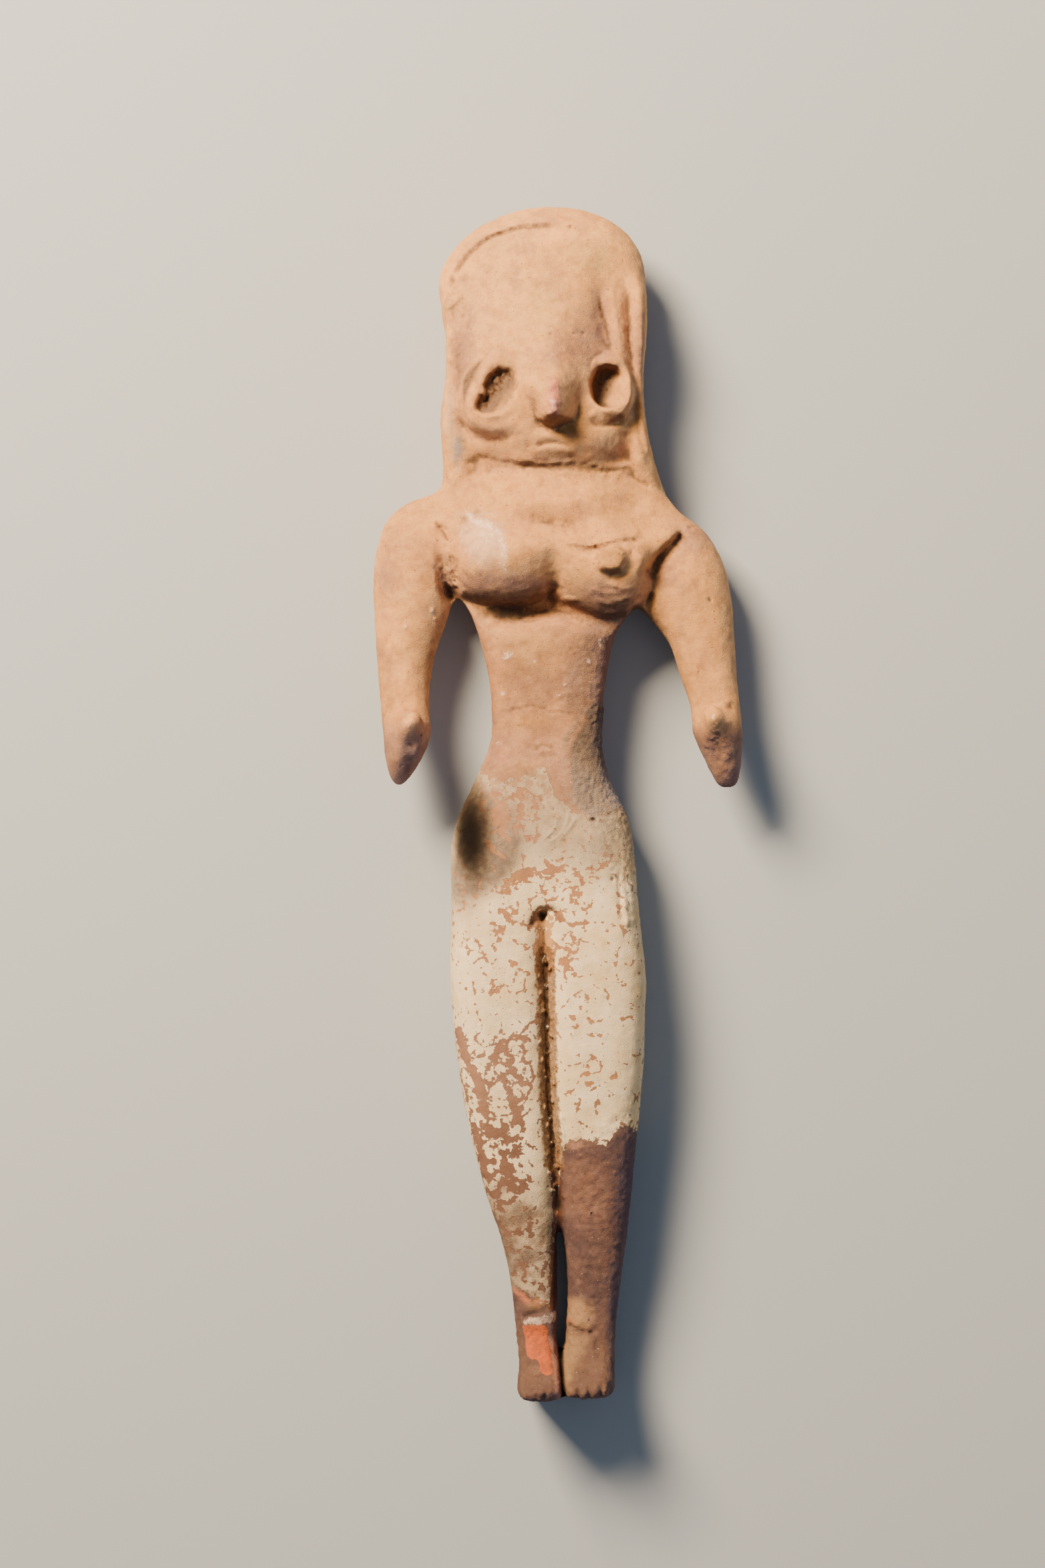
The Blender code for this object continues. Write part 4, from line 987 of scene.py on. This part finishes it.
class Finish:
    """A material, short ways to add its nodes, and the grains that all its parts share."""

    def __init__(self, name):
        self.material = bpy.data.materials.new(name)
        self.material.use_nodes = True
        self.tree = self.material.node_tree
        self.shader = self.tree.nodes["Principled BSDF"]
        self.place = self.node("ShaderNodeTexCoord", output="Object")
        self.mottle = self.grain(2.6, 5, 0.65)
        self.fine = self.grain(0.9, 5, 0.7)
        self.grit = self.grain(0.32, 3, 0.6)
        self.pits = self.step(self.grain(0.75, 2, 0.5), 0.7, 0.76)

    def node(self, kind, settings=None, values=None, output=0):
        made = self.tree.nodes.new(kind)
        for key, value in (settings or {}).items():
            setattr(made, key, value)
        for key, value in (values or {}).items():
            self.give(made.inputs[key], value)
        return Wire(self, made.outputs[output])

    def give(self, socket, value):
        if isinstance(value, Wire):
            self.tree.links.new(value.socket, socket)
        else:
            socket.default_value = value

    def layer(self, name, output="Fac"):
        return self.node("ShaderNodeAttribute", {"attribute_name": name}, output=output)

    def step(self, value, low, high):
        """0 at low, 1 at high, and a smooth slope between."""
        smooth = {"interpolation_type": "SMOOTHSTEP"}
        return self.node("ShaderNodeMapRange", smooth, {0: value, 1: low, 2: high})

    def mix(self, share, under, over, blend="MIX"):
        colours = {"data_type": "RGBA", "blend_type": blend}
        return self.node("ShaderNodeMix", colours, {0: share, 6: under, 7: over}, 2)

    def tone(self, share, under, red, green, blue):
        """Multiplies a colour's red, green and blue."""
        return self.mix(share, under, (red, green, blue, 1), "MULTIPLY")

    def grain(self, size, detail, rough, output="Fac", place=None):
        """Cloudy noise whose marks are about size millimetres."""
        values = {"Scale": 1 / (size * MM), "Detail": detail, "Roughness": rough}
        return self.node("ShaderNodeTexNoise", {}, {"Vector": place or self.place, **values}, output)


def bare_clay(finish):
    """The painted tint, mottled, with bleached grains, dark pits and pale specks."""
    specks = finish.step(finish.grain(0.6, 2, 0.5), 0.29, 0.24)
    clay = finish.layer("tint", "Color")
    clay = finish.tone(finish.step(finish.mottle, 0.38, 0.72), clay, 0.8, 0.76, 0.77)
    clay = finish.tone(finish.step(finish.grain(6.5, 3, 0.55), 0.6, 0.36), clay, 1.12, 1.1, 1.02)
    clay = finish.tone(finish.step(finish.fine, 0.58, 0.28) * 0.8, clay, 1.22, 1.24, 1.24)
    clay = finish.tone(finish.pits * 0.5, clay, 0.45, 0.4, 0.38)
    return finish.mix(specks * 0.4, clay, hue(232, 204, 176))


def slip_cover(finish):
    """Where slip is left: it is gone along winding lines, in worn blots and in bare patches."""
    mottle, fine = finish.mottle - 0.5, finish.fine - 0.5
    torn = finish.node("ShaderNodeVectorMath", {"operation": "MULTIPLY_ADD"},
                       {0: finish.grain(4, 3, 0.5, "Color"), 1: (3 * MM,) * 3, 2: finish.place})
    winding = finish.grain(4.6, 0, 0.5, place=torn) - 0.5
    lines = (1 - winding.over(0 - winding) * 26).over(-1)
    blots = finish.grain(1.5, 2.5, 0.55) - 0.5
    kept = 1.3 - lines * 0.42 - blots * 4.2 - finish.layer("worn") * 2.1 - finish.layer("flaked") * 1.3
    cover = finish.step(finish.layer("slip") + mottle * 1.3 + fine * 0.6, 0.46, 0.54)
    thinned = finish.layer("thin") * finish.step(finish.grain(2.2, 4, 0.65), 0.42, 0.62)
    return cover * finish.step(kept, 0, 0.12) * (1 - thinned * 0.7)


def slip_colour(finish):
    stain = finish.layer("stain") * finish.step(finish.grain(3.4, 5, 0.65), 0.35, 0.7)
    slip = finish.mix(finish.step(finish.grain(7, 4, 0.6), 0.3, 0.7), SLIP_CREAM, SLIP_TAN)
    slip = finish.mix(finish.layer("greyed") * (0.6 + 0.7 * finish.mottle), slip, SLIP_GREY)
    slip = finish.tone(stain * 0.8, slip, 0.82, 0.68, 0.5)
    slip = finish.mix(finish.step(finish.fine, 0.55, 0.8) * 0.3, slip, hue(188, 158, 126))
    return finish.mix(finish.pits * 0.4, slip, hue(120, 92, 66))


def old_fired_clay():
    """Bare clay, its pale slip with torn edges, what has settled on them, and painted shade and shadow,
    as one finish.
    """
    finish = Finish("old_fired_clay")
    mottle, fine, grit = finish.mottle, finish.fine, finish.grit
    cover = slip_cover(finish)
    dusted = finish.step(finish.layer("slip"), 0.35, 0.6) * 0.35
    under = finish.mix(dusted, bare_clay(finish), hue(158, 112, 82))
    skin = finish.mix(cover, under, slip_colour(finish))
    # repairs, salts, dirt with painted shade, soil with painted shade, resin, and the hand's painted
    # shadow, each over the one before
    ragged = (fine - 0.5) * 0.7
    repair = finish.step(finish.layer("repair") + ragged, 0.46, 0.54)
    blotchy = finish.step(fine * 0.5 + mottle * 0.5, 0.35, 0.65)
    skin = finish.mix(repair, skin, finish.mix(blotchy, REPAIR_ORANGE, REPAIR_BROWN))
    filler = finish.step(finish.layer("filler") + ragged * 1.8 + (mottle - 0.5) * 0.8, 0.4, 0.8)
    skin = finish.mix(filler * 0.85, skin, FILLER_WHITE)
    salt = finish.step(finish.layer("salt") + (fine - 0.5) * 1.6 + (grit - 0.5) * 0.9, 0.45, 1.1)
    skin = finish.mix(salt * 0.7, skin, SALT_WHITE)
    # dirt and painted shade
    skin = finish.mix(finish.layer("dirt_and_shade") * (0.55 + 0.5 * mottle), skin, DIRT_AND_SHADE)
    crumbly = finish.step(fine * 0.7 + mottle * 0.5, 0.38, 0.66)
    # soil, and painted shade in the right eye
    skin = finish.mix(finish.layer("soil_and_shade"), skin, finish.mix(crumbly, DARK_SOIL, DRY_SOIL))
    resin = finish.step(finish.layer("resin") + (fine - 0.5) * 1.1 + (mottle - 0.5) * 0.7, 0.34, 0.85)
    skin = finish.mix(resin * 0.85, skin,
                      finish.mix(finish.step(fine, 0.35, 0.65), RESIN_TAN, RESIN_BROWN))
    wet = finish.step(finish.layer("wet") + (grit - 0.5) * 0.6, 0.4, 0.6)
    skin = finish.mix(wet * 0.75, skin, WET_RESIN)
    # the left hand's painted shadow
    skin = finish.mix(finish.layer("hand_shadow"), skin, HAND_SHADOW_BLACK)
    # how rough, how glossy, and the finest relief
    glint = finish.layer("glitter") * finish.step(grit, 0.52, 0.66)
    rough = 0.98 - 0.08 * cover - 0.45 * resin - 0.25 * wet - 0.5 * glint
    gritty = 0.45 * grit * (1 + 1.6 * finish.layer("crusty"))
    relief = 0.34 * cover + 0.35 * fine + gritty - 0.5 * finish.pits + 0.2 * mottle
    depth = {"Strength": 1, "Distance": RELIEF_DEPTH * MM}
    bump = finish.node("ShaderNodeBump", {}, {**depth, "Height": relief})
    for socket, value in (
        ("Base Color", skin), ("Roughness", rough), ("Normal", bump),
        ("Coat Weight", wet * 0.6 + glint * 0.4), ("Coat Roughness", 0.2), ("Specular IOR Level", 0.06),
    ):
        finish.give(finish.shader.inputs[socket], value)
    return finish.material


# ---------------------------------------------------------------- the scene around it


def add_camera():
    lens = bpy.data.cameras.new("camera")
    lens.lens = 85
    lens.sensor_width = 36
    lens.clip_start = 0.01
    camera = bpy.data.objects.new("camera", lens)
    camera.location = EYE_PLACE
    bpy.context.scene.collection.objects.link(camera)
    bpy.context.scene.camera = camera


def add_soft_light(name, place, target, size, watts, colour):
    lamp = bpy.data.lights.new(name, "AREA")
    lamp.shape = "SQUARE"
    lamp.size = size
    lamp.energy = watts
    lamp.color = colour
    made = bpy.data.objects.new(name, lamp)
    made.location = place
    made.rotation_euler = (Vector(target) - Vector(place)).to_track_quat("-Z", "Y").to_euler()
    bpy.context.scene.collection.objects.link(made)


def add_floor():
    deselect_all()
    bpy.ops.mesh.primitive_plane_add(size=FLOOR_SIDE, location=(0, 0, 0))
    floor = bpy.context.object
    floor.name = "floor"
    plain = bpy.data.materials.new("pale_floor")
    plain.use_nodes = True
    shader = plain.node_tree.nodes["Principled BSDF"]
    shader.inputs["Base Color"].default_value = FLOOR_COLOUR
    shader.inputs["Roughness"].default_value = 0.9
    floor.data.materials.append(plain)


def light_the_room():
    """A warm lamp over the left of the head, a weak cool one opposite, and a dim cool room."""
    room = bpy.data.worlds.new("room")
    room.use_nodes = True
    background = room.node_tree.nodes["Background"]
    background.inputs["Color"].default_value = (0.74, 0.87, 1, 1)
    background.inputs["Strength"].default_value = 0.2
    bpy.context.scene.world = room
    add_soft_light("key", (-0.5, 0.68, 0.68), (-0.003, 0.02, 0.01),
                   size=0.42, watts=46, colour=(1, 0.79, 0.52))
    add_soft_light("fill", (0.4, -0.1, 0.95), (0, 0, 0.01),
                   size=0.7, watts=0.6, colour=(0.76, 0.88, 1))


# ---------------------------------------------------------------- making it


def work(piece, *tools):
    """Uses tool after tool on the clay and gives the worked shape back to the piece."""
    clay = Clay(piece)
    for tool in tools:
        tool(clay)
    clay.put_back()


def make_idol():
    piece = carried_over(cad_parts["fertility_idol"])
    work(piece, shape_head, shape_nose, shape_eyes, shape_neck, shape_chest, shape_hands, shape_legs)
    evened(piece, SETTLING)
    work(piece, line_head, line_face, line_chest, line_belly, line_legs, roughen)
    share = MOST_TRIANGLES / (2 * len(piece.data.polygons))
    applied(piece, "DECIMATE", ratio=min(1, share), use_collapse_triangulate=True)
    deselect_all()
    piece.select_set(True)
    bpy.ops.object.shade_smooth()
    paint = Paint(piece)
    for coat in (
        paint_ground, paint_head, paint_chest, paint_arms, paint_belly, paint_legs, paint_sides,
        lay_slip, wear_slip, lay_accidents, lay_dirt_and_shade,
    ):
        coat(paint)
    paint.put_on()
    piece.data.materials.clear()
    piece.data.materials.append(old_fired_clay())
    return piece


idol = make_idol()
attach(idol, "root")
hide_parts("fertility_idol")
add_floor()
light_the_room()
add_camera()
